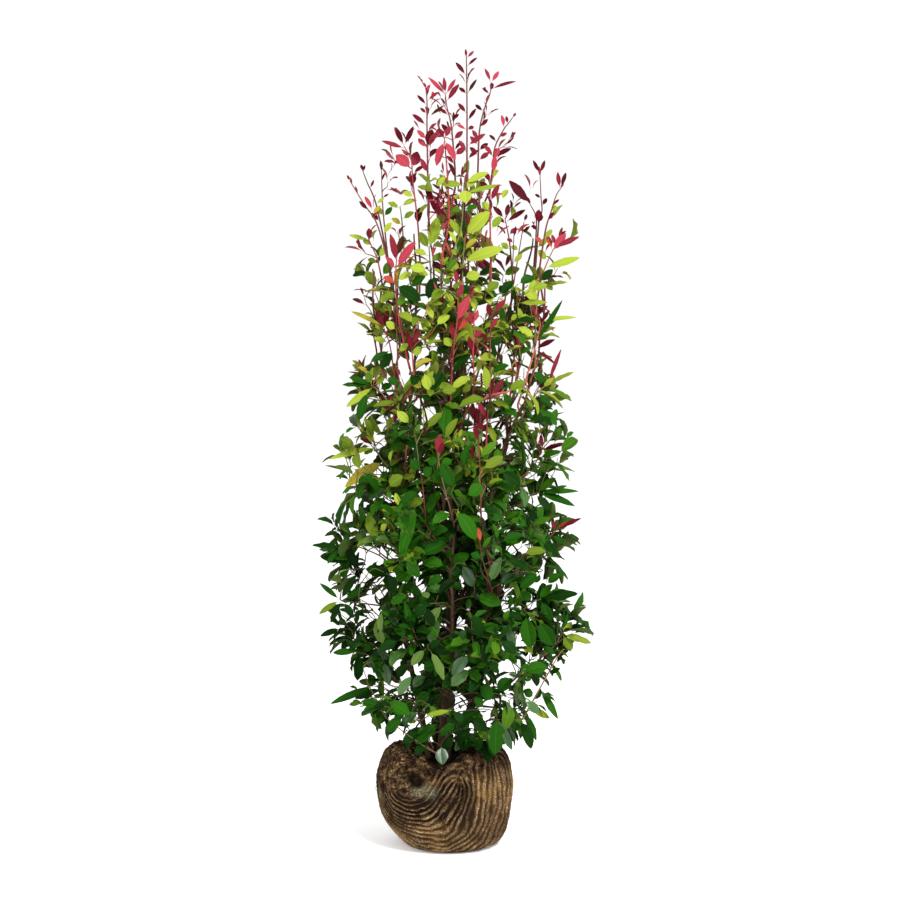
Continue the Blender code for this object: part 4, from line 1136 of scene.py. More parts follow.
        (558, 529, 567, 522, 4, "coral_c"), (558, 529, 581, 517, 5, "maroon_c"), (556, 532, 552, 520, 4, "coral_b"), (552, 536, 564, 542, 7, "dark_c"))),
    "far_left_leaf": (-0.020, ((372, 552), (352, 545), (341, 547)), "brown_a", (
        (341, 547, 312, 545, 8, "dark_b"), (340, 548, 327, 563, 7, "dark_c"), (345, 546, 357, 568, 9, "dark_a"), (348, 545, 345, 532, 6, "dark_c"))),
    "left_whorl": (-0.060, ((384, 606), (360, 603), (340, 600)), "brown_a", (
        (341, 599, 357, 575, 9, "dark_b"), (343, 600, 363, 587, 7, "dark_c"), (343, 602, 353, 618, 7, "dark_b"), (340, 600, 320, 583, 5, "dark_c"),
        (340, 601, 319, 614, 6, "lime_d"), (341, 602, 330, 622, 6, "dark_a"))),
    "left_tip": (0.040, ((382, 640), (362, 632), (342, 628)), "brown_a", (
        (342, 628, 320, 636, 7, "dark_b"), (345, 628, 352, 642, 8, "dark_b"), (343, 627, 330, 616, 6, "dark_c"), (350, 630, 342, 652, 7, "dark_a"))),
    "left_hanging": (-0.070, ((384, 668), (370, 656), (358, 652)), "brown_a", (
        (358, 652, 358, 681, 12, "dark_b"), (356, 652, 332, 651, 7, "dark_c"), (362, 654, 374, 642, 8, "dark_c"), (356, 652, 346, 640, 7, "dark_b"))),
    "left_low": (-0.050, ((404, 700), (386, 690), (374, 686)), "brown_a", (
        (374, 686, 330, 704, 8, "dark_c"), (383, 689, 355, 699, 8, "dark_b"), (378, 686, 368, 674, 8, "dark_c"), (390, 692, 398, 706, 9, "dark_a"))),
    "yellow_leaf": (-0.190, ((466, 704), (460, 707), (453, 710)), "brown_c", ((452, 711, 426, 715, 5, "lime_a"), (454, 708, 462, 722, 8, "dark_b"))),
    "right_yellow": (-0.010, ((534, 664), (552, 648), (562, 634)), "brown_b", (
        (562, 634, 592, 643, 8, "lime_a"), (562, 634, 572, 650, 9, "lime_d"), (560, 638, 552, 652, 8, "dark_c"), (560, 634, 572, 622, 7, "lime_b"))),
    "right_big": (-0.060, ((516, 616), (530, 604), (541, 599)), "brown_b", (
        (541, 598, 577, 591, 12, "dark_b"), (540, 600, 552, 622, 9, "dark_c"), (538, 600, 552, 584, 8, "dark_d"), (534, 604, 522, 592, 9, "dark_c"))),
    "right_low_stem": (-0.030, ((500, 736), (518, 725), (540, 688), (558, 656), (564, 649)), "tan", (
        (558, 657, 543, 646, 6, "dark_c"), (540, 690, 558, 719, 7, "dark_d"), (530, 710, 550, 718, 7, "lime_a"), (530, 714, 537, 741, 7, "dark_c"),
        (548, 674, 560, 668, 6, "dark_b"), (545, 680, 534, 670, 8, "dark_c"), (536, 698, 524, 690, 9, "dark_d"))),
    "front_low": (-0.180, ((472, 710), (484, 709), (493, 711), (497, 718)), "brown_c", (
        (497, 717, 495, 755, 16, "dark_c"), (500, 718, 513, 752, 8, "gloss_a"), (486, 708, 474, 698, 10, "dark_c"), (478, 711, 458, 727, 10, "dark_b"))),
    "foot_leaf": (-0.166, ((447, 736), (444, 739), (441, 744)), "brown_c", ((441, 743, 442, 765, 11.5, "gloss_a"),)),
    "foot_left_a": (-0.135, ((434, 752), (424, 746), (408, 735), (396, 726), (386, 718)), "brown_b", (
        (398, 728, 387, 735, 3.6, "dark_b"), (388, 720, 374, 712, 8, "dark_c"), (392, 723, 404, 712, 8, "dark_c"))),
    "foot_left_b": (-0.118, ((432, 750), (420, 740), (408, 728), (402, 716)), "brown_c", (
        (402, 718, 392, 704, 8, "dark_d"), (405, 723, 416, 712, 7, "green_c"))),
    "foot_left_c": (-0.105, ((433, 748), (427, 734), (420, 722), (412, 712)), "brown_a", (
        (412, 714, 404, 701, 8, "dark_b"), (436, 727, 411, 738, 12, "dark_d"), (418, 720, 408, 722, 6, "lime_d"))),
}

# single leaves on the crown's face: (foot u, v, tip u, v, width in pixels, tint)
FACE = (
    (446, 586, 462, 566, 13, "dark_c"), (461, 578, 446, 562, 12, "dark_b"), (450, 566, 467, 552, 12, "dark_d"), (438, 596, 452, 578, 11, "dark_a"),
    (474, 375, 452, 385, 9, "lime_b"), (468, 365, 454, 381, 9, "lime_a"), (484, 363, 489, 388, 9, "lime_a"), (440, 391, 455, 389, 10, "lime_d"),
    (424, 372, 428, 389, 9, "lime_b"), (518, 303, 546, 302, 6, "lime_a"), (516, 326, 533, 334, 8, "lime_b"), (444, 440, 455, 419, 9, "lime_d"),
    (484, 424, 498, 440, 8, "lime_a"), (482, 470, 502, 456, 9, "green_c"), (388, 487, 401, 476, 12, "lime_d"), (428, 302, 431, 280, 9, "dark_a"),
    (512, 322, 534, 317, 8, "dark_b"), (436, 346, 450, 353, 10, "dark_a"), (358, 424, 365, 396, 10, "dark_c"), (420, 490, 396, 506, 15, "dark_c"),
    (416, 505, 400, 554, 12, "dark_d"), (456, 510, 477, 537, 14, "dark_d"), (440, 459, 452, 487, 12, "dark_c"), (470, 442, 462, 464, 9, "dark_c"),
    (500, 470, 520, 484, 12, "dark_b"), (528, 418, 554, 420, 15, "dark_b"), (366, 476, 381, 489, 13, "dark_c"), (450, 541, 424, 553, 14, "dark_c"),
    (446, 566, 424, 560, 13, "dark_d"), (468, 592, 446, 614, 16, "dark_d"), (474, 596, 500, 602, 14, "dark_d"), (486, 592, 498, 622, 16, "dark_c"),
    (458, 590, 436, 601, 13, "dark_c"), (526, 614, 530, 647, 16, "dark_d"), (538, 620, 553, 645, 16, "dark_c"), (470, 654, 452, 673, 12, "gloss_a"),
    (472, 668, 450, 684, 12, "gloss_b"), (430, 650, 445, 678, 9, "pale_a"), (382, 610, 380, 632, 8, "pale_a"), (374, 645, 391, 661, 7, "gloss_b"),
    (461, 563, 475, 587, 11, "gloss_a"), (520, 680, 523, 709, 8, "gloss_b"), (438, 722, 416, 742, 14, "dark_c"), (474, 726, 456, 743, 12, "dark_b"),
    (478, 704, 455, 729, 12, "dark_b"), (386, 700, 410, 713, 12, "dark_d"), (500, 542, 522, 534, 10, "dark_c"), (522, 554, 544, 548, 10, "green_c"),
    (544, 538, 556, 556, 10, "dark_b"), (522, 672, 546, 664, 14, "dark_d"), (478, 684, 492, 698, 13, "dark_c"), (396, 698, 410, 678, 10, "gloss_b"),
    (384, 660, 388, 684, 8, "gloss_a"), (384, 572, 394, 590, 13, "dark_a"), (362, 568, 386, 574, 14, "dark_c"), (506, 520, 488, 510, 12, "dark_c"),
    (506, 560, 528, 566, 12, "dark_b"), (430, 604, 412, 616, 12, "dark_b"), (400, 640, 380, 650, 12, "dark_b"), (436, 630, 424, 608, 10, "dark_a"),
    (540, 572, 520, 586, 12, "dark_c"), (404, 560, 420, 576, 11, "dark_c"), (500, 640, 516, 652, 12, "dark_b"), (470, 612, 484, 636, 12, "dark_b"),
    (426, 430, 440, 412, 8, "green_c"), (508, 392, 524, 380, 9, "lime_d"), (460, 410, 446, 402, 9, "green_b"), (410, 424, 398, 412, 9, "lime_b"),
    (436, 326, 448, 314, 9, "lime_b"), (446, 290, 432, 296, 10, "lime_d"), (446, 272, 456, 258, 9, "green_b"), (500, 296, 512, 280, 10, "dark_b"),
    (476, 276, 496, 268, 10, "dark_b"), (430, 728, 402, 738, 12, "dark_b"), (452, 734, 470, 748, 11, "dark_a"), (430, 742, 414, 752, 9, "dark_b"),
    (404, 716, 386, 730, 11, "dark_c"), (484, 736, 474, 750, 9, "dark_b"), (470, 716, 486, 730, 12, "dark_b"), (420, 712, 402, 722, 11, "gloss_a"),
    (462, 690, 478, 704, 12, "dark_b"), (432, 690, 416, 704, 11, "dark_c"), (524, 700, 540, 712, 9, "gloss_b"), (428, 270, 412, 266, 9, "lime_b"), (522, 290, 538, 298, 12, "lime_b"), (380, 372, 390, 352, 11, "dark_b"),
    (378, 286, 366, 272, 9, "lime_d"), (394, 292, 380, 300, 9, "lime_a"), (518, 284, 534, 276, 10, "dark_c"), (530, 290, 546, 284, 9, "lime_a"),
    (503, 276, 518, 266, 10, "green_b"), (410, 288, 424, 276, 10, "dark_c"), (444, 290, 430, 300, 9, "green_c"), (472, 286, 458, 292, 10, "dark_b"),
    (382, 276, 392, 262, 9, "green_b"), (540, 282, 552, 270, 8, "dark_b"), (486, 292, 498, 282, 10, "lime_d"), (398, 302, 410, 312, 10, "lime_d"),
    (446, 716, 462, 736, 11, "dark_b"), (428, 704, 438, 718, 9, "green_b"), (458, 722, 440, 734, 9, "dark_c"), (466, 736, 484, 744, 9, "dark_b"),
    (420, 730, 404, 742, 9, "dark_b"), (476, 740, 462, 750, 8, "dark_a"),
    (440, 660, 424, 668, 12, "dark_c"), (486, 660, 500, 672, 12, "dark_b"), (410, 664, 396, 676, 11, "dark_b"), (512, 676, 498, 690, 12, "dark_c"),
    (372, 662, 386, 670, 11, "dark_c"), (428, 676, 412, 684, 11, "gloss_b"), (466, 668, 482, 680, 12, "dark_d"), (534, 660, 548, 668, 10, "dark_b"),
    (356, 484, 370, 474, 10, "dark_c"), (484, 484, 470, 494, 12, "dark_d"), (508, 490, 494, 498, 11, "dark_b"), (430, 478, 446, 472, 10, "dark_c"),
    (394, 582, 408, 572, 11, "dark_d"), (500, 584, 514, 574, 11, "gloss_a"), (426, 586, 440, 576, 10, "dark_c"), (546, 584, 560, 574, 9, "dark_d"))

def front_depth(u, v, otherwise=-0.05):
    """How far forward the frame's foliage reaches at a pixel."""
    way = (spot(u, v, 0) - CAMERA).normalized()
    best = None
    for mass in MASS.values():
        hit, _, _, d = mass["tree"].ray_cast(CAMERA, way)
        if hit is not None and (best is None or hit.y < best):
            best = hit.y
    return best if best is not None else otherwise


def keep_clear(u0, v0, u1, v1, half, depth, hits):
    CLEAR.append((u0, v0, u1, v1, half, depth, hits))


shoot_leaves = 0
to_dress = []
for name, (depth, stem, tint, leaves) in SHOOTS.items():
    wander = dice.uniform(-0.010, 0.010)
    in_front = depth is None
    if in_front:
        depth, foot_depth = front_depth(*stem[-1]) + 0.006, front_depth(*stem[0]) + 0.060
        rows = [front_depth(u, v) for u, v in stem]
        path = []
        for i, (u, v) in enumerate(stem):
            s = i / (len(stem) - 1)
            path.append(spot(u, v, min(lerp(foot_depth, depth, smooth(s * 2.2)), rows[i] + (0.060 if i == 0 else 0.016))))
    else:
        path = [spot(u, v, depth + wander * (i / len(stem))) for i, (u, v) in enumerate(stem)]
    if in_front or name.startswith(("mid_", "left_", "right_")):
        for i in range(1 if len(stem) > 2 else 0, len(stem) - 1):
            keep_clear(*stem[i], *stem[i + 1], 1.9 if in_front else 1.4, path[i].y, 1)
    # even points along the stem, on a smooth curve through its marks
    fine = []
    for i in range(len(path) - 1):
        before, after = path[max(i - 1, 0)], path[min(i + 2, len(path) - 1)]
        for k in range(8):
            t = k / 8
            a, b = path[i], path[i + 1]
            fine.append(0.5 * ((2 * a) + (b - before) * t + (2 * before - 5 * a + 4 * b - after) * t * t + (3 * a - before - 3 * b + after) * t**3))
    fine.append(path[-1])
    length = sum((fine[i + 1] - fine[i]).length for i in range(len(fine) - 1))
    way = (fine[2] - fine[0]).normalized()
    orders = (0, 1, 2)
    foot = nearest_foothold(fine[0], (way + UP * 1.2).normalized(), orders, None, 3.6, 0.0, 0.9,
                            drop=(0.14, 0.50) if fine[0].z > 1.30 else None)
    start = S_place[foot]
    gap = fine[0] - start
    lead = []
    if gap.length > 0.006:
        leave = (S_way[foot] * 0.6 + gap.normalized()).normalized()
        count = max(int(gap.length / 0.016), 3)
        lead = [bezier(start, start + leave * gap.length * 0.33, fine[0] - way * gap.length * 0.40, fine[0], i / count) for i in range(count)]
        seed = dice.uniform(0, 99)
        lead = [p + Vector((noise.noise(Vector((seed, i * 0.4, 0))), noise.noise(Vector((seed, i * 0.4, 5))), 0)) * 0.005 * min(i / 3, 1) * min((count - i) / 3, 1) for i, p in enumerate(lead)]
    step = 0.010
    points = lead + fine[:: max(int(len(fine) * step / max(length, 0.02)), 1)]
    if (points[-1] - fine[-1]).length > 0.002:
        points.append(fine[-1])
    if len(points) < 3:
        points = [start, (start + fine[-1]) / 2, fine[-1]]
    tip_radius = 0.0011 if length > 0.10 else 0.0009
    numbers = skeleton_path(points[1:], [tip_radius] * (len(points) - 1), 2 if length > 0.10 else 3, foot, name)
    slim = (in_front and name != "front_long") or name.startswith("foot_")
    chain = {"foot": foot, "numbers": numbers, "order": 3 if slim else 2, "tint": tint, "points": points, "mass": name, "tip_radius": tip_radius,
             "length": sum((points[i + 1] - points[i]).length for i in range(len(points) - 1))}
    CHAINS.append(chain)
    for u0, v0, u1, v1, wide, leaf_tint in leaves:
        # the leaf's foot sits on the stem at the nearest point to its mark
        mark = spot(u0, v0, depth)
        base = min(fine, key=lambda p: (p.x - mark.x) ** 2 + (p.z - mark.z) ** 2)
        length_flat = math.hypot(u1 - u0, v1 - v0) * 0.0025
        away = dice.uniform(-0.45, 0.30) * length_flat
        tip = spot(u1, v1, base.y + away)
        axis = tip - base
        if axis.length < 0.006:
            continue
        toward = (CAMERA - base).normalized()
        normal = (toward * dice.uniform(0.5, 1.0) + UP * 0.55 + Vector((dice.uniform(-0.4, 0.4), 0, 0))).normalized()
        shown = across(axis.normalized(), normal)
        narrow = TINT_PLACE[leaf_tint][0] in ("leaves_coral", "leaves_maroon")
        leaf(base, axis, shown, axis.length, wide * 0.0025 * (1.12 if narrow else 1.12), leaf_tint, fold=dice.uniform(0.10, 0.32), curl=dice.uniform(-0.1, 0.40),
             wave=dice.uniform(0, 0.2), twist=dice.uniform(-0.22, 0.22), stalk=min(0.22 * axis.length, 0.010), fullness=(0.8, 0.9) if narrow else (0.72, 0.82), mark=True)
        keep_clear(lerp(u0, u1, 0.2), lerp(v0, v1, 0.2), lerp(u0, u1, 0.95), lerp(v0, v1, 0.95), max(wide * 0.34, 1.4), base.y + 0.003, 2 if wide > 5 else 1)
        shoot_leaves += 1
    if fine[-1].z > 1.50 and not name.startswith(("lime", "upright", "leader", "far_", "right_twig", "right_mast", "big_maroon", "maroon_trio")):
        outward = (fine[-1] - trunk_axis(1.6)) * Vector((1, 1, 0))
        to_dress.append((chain, ("coral_b", "maroon_c", ("maroon_b", "maroon_a", "coral_b", "maroon_a")), outward.normalized(), 0.050,
                         dict(bare=max(0.30, 1 - 0.80 * length / chain["length"]), gap=0.026, spread_angle=(22, 46), face_up=0.10, young=3, most=4, first=0.78, pairs=True)))

# the single leaves on the face, each on a shoot of its own from the wood behind it
for u0, v0, u1, v1, wide, leaf_tint in FACE:
    depth = front_depth(u0, v0, -0.12) + 0.010
    if v1 > 725:
        depth = min(depth, -0.128)
    base = spot(u0, v0, depth)
    tip = spot(u1, v1, depth + dice.uniform(-0.016, 0.006))
    axis = tip - base
    way = (axis.normalized() + UP * 0.5 + Vector((0, -0.5, 0))).normalized()
    if base.z < 0.34:
        way = (axis.normalized() * 0.6 + Vector((0, -0.6, -0.2))).normalized()
    chain = grow(base, way, (0, 1, 2), 3, twig_tint(base.z, 3), 0.0009, 0.016, "face", 1.0, least=0.035)
    toward = (CAMERA - base).normalized()
    normal = (toward * dice.uniform(0.6, 1.1) + UP * 0.55 + Vector((dice.uniform(-0.6, 0.6), 0, dice.uniform(-0.2, 0.3)))).normalized()
    leaf(base, axis, across(axis.normalized(), normal), axis.length * 1.06, wide * 0.0025 * 1.08, leaf_tint, fold=dice.uniform(0.12, 0.42), curl=dice.uniform(0.1, 0.70),
         wave=dice.uniform(0.05, 0.25), twist=dice.uniform(-0.35, 0.35), stalk=min(0.16 * axis.length, 0.010), mark=True)
    keep_clear(lerp(u0, u1, 0.3), lerp(v0, v1, 0.3), lerp(u0, u1, 0.9), lerp(v0, v1, 0.9), wide * 0.34, depth + 0.002, 2)
    shoot_leaves += 1
    outward = (base - trunk_axis(min(base.z, TOP))) * Vector((1, 1, 0))
    to_dress.append((chain, spray_kinds(base.z), outward.normalized(), 0.070 if base.z < 1.3 else 0.058,
                     dict(bare=0.25, gap=0.013, spread_angle=(50, 88), face_up=0.7, young=1, droop=0.2 if base.z < 0.9 else 0.0, most=8)))

CLEAR_ROWS = np.array(CLEAR, dtype=float)
for chain, kinds, outward, size, rest in to_dress:
    dress(chain, kinds, outward, size, **rest)

# ---- every mass: first its own boughs from the nearest limb, then shoots off those, then side shoots
TIER_SHOOTS = {"skirt": 30, "lower": 29, "middle": 28, "upper": 27, "shoulder": 25, "neck": 29}
SPRAY_SHOOTS = {"leader": 1, "right_twig": 2, "far_left_twig": 1, "far_right_twig": 1, "right_mast": 2, "right_plume": 3, "centre_plume": 6, "left_plume": 5,
                "left_fan": 9, "red_spray": 8, "left_spray": 8, "coral_spray": 10, "maroon_spray": 6, "right_spray": 8}
TIER_OUT = {"skirt": (0.95, 0.25), "lower": (0.85, 0.50), "middle": (0.75, 0.70), "upper": (0.60, 0.85), "shoulder": (0.45, 1.0), "neck": (0.28, 1.0)}
TIER_LEAF = {"skirt": 0.076, "lower": 0.082, "middle": 0.081, "upper": 0.077, "shoulder": 0.073, "neck": 0.070}


def sample_in(mass, depth_low, depth_high, tries=60, top_bias=0.0):
    """A point of the mass between two depths under its skin."""
    best, best_gap = None, 9.0
    for _ in range(tries):
        p = Vector([dice.uniform(mass["low"][k], mass["high"][k]) for k in range(3)])
        if top_bias and dice.random() < top_bias and p.z < mass["centre"].z:
            continue
        d = within(mass, p)
        if depth_low <= d <= depth_high:
            return p
        gap = min(abs(d - depth_low), abs(d - depth_high))
        if gap < best_gap and d > 0:
            best, best_gap = p, gap
    return best if best is not None else mass["centre"].copy()


def far_enough(p, taken, gap):
    return all((p - q).length > gap for q in taken)


order_of_work = sorted(MASS, key=lambda n: MASS[n]["centre"].z)
for mass_name in order_of_work:
    mass = MASS[mass_name]
    centre = mass["centre"]
    axis_here = trunk_axis(min(max(centre.z, FLOOR_Z), TOP))
    outward = Vector((centre.x - axis_here.x, centre.y - axis_here.y, 0))
    outward = outward.normalized() if outward.length > 0.01 else Vector((0, -1, 0))
    if mass_name.startswith("mass_"):
        tier = mass_name.split("_")[1]
        out_w, up_w = TIER_OUT[tier]
        way = (outward * out_w + UP * up_w).normalized()
        size = TIER_LEAF[tier]
        shoots = TIER_SHOOTS[tier]
        # boughs
        for k in range(2):
            tip = centre - outward * dice.uniform(0.00, 0.03) + Vector((dice.uniform(-0.03, 0.03), dice.uniform(-0.03, 0.03), dice.uniform(-0.02, 0.03)))
            grow(tip, (way + UP * 0.2).normalized(), (0, 1), 2, twig_tint(tip.z, 2), 0.0016, 0.020, mass_name, 1.4, wobble=0.006)
        taken = []
        for k in range(shoots):
            p = None
            for _ in range(14):
                p = sample_in(mass, 0.022, 0.060)
                # the crown's outer face first: most shoot tips lie on the side away from the trunk
                outer = (p - centre).dot(outward) > -0.02 or dice.random() < 0.22
                if outer and far_enough(p, taken, 0.040):
                    break
            taken.append(p)
            local_out = Vector((p.x - axis_here.x, p.y - axis_here.y, 0)).normalized()
            lean_up = up_w * dice.uniform(0.6, 1.4) + 0.9 * max(0, (p.z - centre.z)) / 0.12 * 0.3
            if tier in ("skirt", "lower") and p.z < centre.z - 0.03:
                lean_up *= 0.15
            aim = (local_out * out_w * dice.uniform(0.7, 1.2) + UP * lean_up + Vector((dice.uniform(-0.35, 0.35), dice.uniform(-0.35, 0.35), 0))).normalized()
            chain = grow(p, aim, (1, 2, 3), 3, twig_tint(p.z, 3), 0.0009, 0.016, mass_name, 1.0, least=0.05, drop=(0.012, 0.20) if tier == "skirt" else (0.030, 0.22))
            droop = 0.35 if tier in ("skirt", "lower") else 0.22 if tier == "middle" else 0.12 if tier == "upper" else 0.04
            dress(chain, spray_kinds(p.z), local_out, size * dice.uniform(0.85, 1.12), bare=0.14, gap=0.0130, spread_angle=(48, 86), face_up=0.75,
                  young=3, droop=droop, most=13, first=0.54 if p.z > 1.15 else 0.46)
    else:
        # sprays at the top: shoots that stand nearly upright
        tall = mass["high"].z - mass["low"].z
        heart = "heart" in mass_name
        shoots = 28 if heart else SPRAY_SHOOTS.get(mass_name[6:], 9)
        taken = []
        for k in range(shoots):
            for _ in range(12):
                p = sample_in(mass, 0.006, 0.045)
                if far_enough(p, taken, 0.035):
                    break
            taken.append(p)
            local_out = Vector((p.x - axis_here.x, p.y - axis_here.y, 0))
            local_out = local_out.normalized() if local_out.length > 0.02 else outward
            aim = (UP + local_out * dice.uniform(0.05, 0.45) + Vector((dice.uniform(-0.2, 0.2), dice.uniform(-0.2, 0.2), 0))).normalized()
            chain = grow(p, aim, (0, 1, 2), 3, twig_tint(p.z, 3), 0.0008, 0.014, mass_name, 1.5, least=0.04, wobble=0.003)
            upper = p.z > 1.60
            kinds = spray_kinds(p.z)
            if upper and p.z < 1.70 and not mass_name.endswith(("left_fan", "heart_front", "heart_back", "_spray")):
                kinds = spray_kinds(1.75)
            dress(chain, kinds, local_out, (0.056 if upper else 0.074) * dice.uniform(0.85, 1.15), bare=0.40, gap=0.022 if upper else 0.015,
                  spread_angle=(20, 50) if upper else (38, 76), face_up=0.30 if upper else 0.6, young=4 if upper else 3, droop=0.0, most=6 if upper else 10,
                  first=0.66 if upper else 0.52, pairs=upper)

# ---- low shoots round the foot, which hang over the mouth of the wrap
for k in range(38):
    azimuth = 250 + 47 * k + dice.uniform(-10, 10) if k < 22 else dice.uniform(205, 335)
    out = around(azimuth)
    z = dice.uniform(0.300, 0.400)
    tip = trunk_axis(0.3) + out * dice.uniform(0.060, 0.150) + UP * (z - 0.3)
    foot = nearest_foothold(tip, (out + UP * 0.5).normalized(), (0,), None, 0.8, 0.02, 0.4)
    chain = grow(tip, (out + UP * dice.uniform(-0.1, 0.6)).normalized(), (0,), 3, twig_tint(z, 3), 0.0009, 0.016, "foot", 0.8, foot=foot)
    dress(chain, ("dark_c", "dark_b", DARK) if k % 6 else ("green_a", "dark_d", MIDS), out, 0.070 * dice.uniform(0.8, 1.15), bare=0.10, gap=0.014,
          spread_angle=(45, 85), face_up=0.6, young=2, droop=0.30, most=9)

# ---- short inner shoots close to the trunk, so that the heart of the shrub is as full as its face
turn = 40.0
z = 0.400
while z < 1.60:
    turn += 137.5
    out = around(turn)
    reach = dice.uniform(0.050, 0.125) * (1.0 if z < 1.1 else 0.75)
    tip = trunk_axis(z) + out * reach
    rise = lerp(0.55, 1.3, smooth((z - 0.4) / 1.1))
    aim = (out + UP * rise * dice.uniform(0.7, 1.2)).normalized()
    chain = grow(tip, aim, (0, 1), 3, twig_tint(z, 3), 0.0009, 0.016, "heart", 1.2, least=0.035)
    kinds = ("dark_b", "dark_a", ("dark_a", "dark_b", "dark_a", "dark_c", "gloss_a")) if z < 1.05 else ("green_a", "dark_c", ("dark_a", "dark_b", "dark_c", "green_a")) if dice.random() < 0.6 else spray_kinds(z)
    dress(chain, kinds, out, lerp(0.078, 0.056, smooth((z - 0.5) / 0.9)) * dice.uniform(0.85, 1.1), bare=0.2, gap=0.015, spread_angle=(45, 85),
          face_up=0.7, young=3, droop=0.2 if z < 1.0 else 0.0, most=11)
    z += 0.0115 if z < 1.2 else 0.013

# ------------------------------------------------------------------ twigs, by the pipe rule: a bearer's section is the sum of what it bears
count = len(S_place)
section = np.zeros(count)
POWER = 2.4
for i in range(count - 1, -1, -1):
    own = S_radius[i] ** POWER if section[i] == 0 else 0
    if S_order[i] >= 2:
        section[i] = max(section[i], own)
        parent = S_parent[i]
        if parent >= 0 and S_order[parent] >= 2:
            section[parent] += section[i] * (0.93 if parent == i - 1 else 0.55)
radius = np.where(np.array(S_order) >= 2, section ** (1 / POWER), np.array(S_radius))

twigs = {name: {"points": [], "faces": [], "tints": []} for name in TWIG_TINTS}
bearers = {c["foot"] for c in CHAINS}
for chain in CHAINS:
    numbers = chain["numbers"]
    # a shoot whose leaves found no room isn't there either, unless it bears others
    if chain["order"] == 3 and chain.get("made", 9) < 3 and chain["mass"] != "face" and not bearers.intersection(numbers):
        continue
    points = [S_place[chain["foot"]]] + [S_place[i] for i in numbers]
    first = min(radius[numbers[0]] * 1.15, S_radius[chain["foot"]] if S_order[chain["foot"]] < 2 else 9)
    radii = [first] + [float(radius[i]) for i in numbers]
    longest = len(radii) - 1
    cap = 0.0034 if chain["order"] == 2 else 0.0022
    stout = 1.6 if chain["order"] == 2 else 0.9
    radii = [min(max(r, chain["tip_radius"] * (1 + stout * (1 - i / longest))), cap) for i, r in enumerate(radii)]
    thick = max(radii)
    piece_name, row = TWIG_PLACE[chain["tint"]]
    store = twigs[piece_name]
    spots, faces = tube(points, radii, 7 if thick > 0.0018 else 5, len(store["points"]))
    store["points"] += spots
    store["faces"] += faces
    store["tints"] += [row] * len(faces)

# ------------------------------------------------------------------ foliage pieces
ALL_MASSES = sorted(MASS)
pieces_made = {}


def mass_nodes(test):
    return [n for n in ALL_MASSES if test(n)]


for piece_name, store in LEAVES.items():
    leaves = store["points"]
    if not leaves:
        continue
    per = 96
    most = 190000 // per
    parts = max(1, math.ceil(len(leaves) / most))
    size = math.ceil(len(leaves) / parts)
    for part in range(parts):
        chunk = leaves[part * size:(part + 1) * size]
        tints = store["tints"][part * size:(part + 1) * size]
        points = np.concatenate(chunk)
        faces, material = [], []
        for i, first in enumerate(tints):
            base = i * LEAF_VERTS
            faces += [tuple(base + v for v in f) for f in LEAF_FACES]
            material += [first + p for p in LEAF_PARTS]
        flags = LEAF_FLAGS * len(chunk)
        o = mesh_object(piece_name + ("" if parts == 1 else "_" + "abcdefgh"[part]), points, faces, LEAF_MATERIALS[piece_name], material, True, flags)
        pieces_made.setdefault(piece_name, []).append(o)
        settle(o, {"leaves_dark": "foliage_dark", "leaves_green": "foliage_dark", "leaves_lime": "foliage_light"}.get(piece_name, "foliage_red"))

for piece_name, store in twigs.items():
    if store["points"]:
        o = mesh_object(piece_name, store["points"], store["faces"], TWIG_MATERIALS[piece_name], store["tints"])
        settle(o, "bark")
        pieces_made[piece_name] = [o]
canes = settle(mesh_object("canes", cane_points, cane_faces, [CANE]), "bark")
young_canes = settle(mesh_object("canes_young", young_points, young_faces, [YOUNG_BARK]), "bark")

# which piece stands for which masses: by the height at which each kind is the most of it
low_masses = mass_nodes(lambda n: n.startswith(("mass_skirt", "mass_lower", "mass_middle", "mass_upper")))
mid_masses = mass_nodes(lambda n: n.startswith(("mass_shoulder", "mass_neck", "spray_heart", "spray_left_spray", "spray_right_spray")))
top_masses = [n for n in ALL_MASSES if n not in low_masses and n not in mid_masses]
for o in pieces_made["leaves_dark"]:
    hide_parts(*low_masses)
for o in pieces_made["leaves_green"]:
    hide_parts(*[n for n in low_masses + mid_masses if n not in mass_nodes(lambda m: m.startswith("mass_skirt"))])
for o in pieces_made["leaves_lime"]:
    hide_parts(*mid_masses)
for kind in ("leaves_coral", "leaves_maroon"):
    for o in pieces_made[kind]:
        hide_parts(*top_masses)

# ------------------------------------------------------------------ the wrapped root ball
PROFILE = ((0.066, 0.214), (0.083, 0.240), (0.100, 0.257), (0.135, 0.249), (0.160, 0.215), (0.169, 0.165), (0.167, 0.110),
           (0.153, 0.056), (0.130, 0.018), (0.102, 0.0))
NOTCH_DEPTH, NOTCH_AZIMUTH, NOTCH_WIDTH, BALL_LUMPS = 0.050, 262, 30, 0.005
BALL_CENTRE = Vector((BALL_X, 0, 0.135))
# three places the ribs run to: where the cloth is gathered in front, the fold they wind round on the left, and the rim
GATHER = (spot(461, 779, -0.163) - BALL_CENTRE).normalized()
EYE = (spot(413, 779, -0.140) - BALL_CENTRE).normalized()
RIM = (spot(492, 750, -0.095) - BALL_CENTRE).normalized()
RIBS_GATHER, RIBS_RIM, RIBS_EYE, EYE_SOFT = 7, 8, 62, 0.56
HOLLOW, PATCH, WRINKLES = spot(403, 774, -0.136), spot(417, 791, -0.150), spot(468, 763, -0.135)
HOLLOW_END, PATCH_END = spot(416, 780, -0.148), spot(432, 793, -0.158)
OVER_A, OVER_B = spot(449, 772, -0.160), spot(470, 770, -0.158)
BACK_DIP, BACK_AZIMUTH, BACK_WIDTH = 0.024, 90, 64


def off_line(p, a, b):
    """How far a point is from the stretch between two others."""
    along = min(max((p - a).dot(b - a) / (b - a).length_squared, 0), 1)
    return (p - a.lerp(b, along)).length


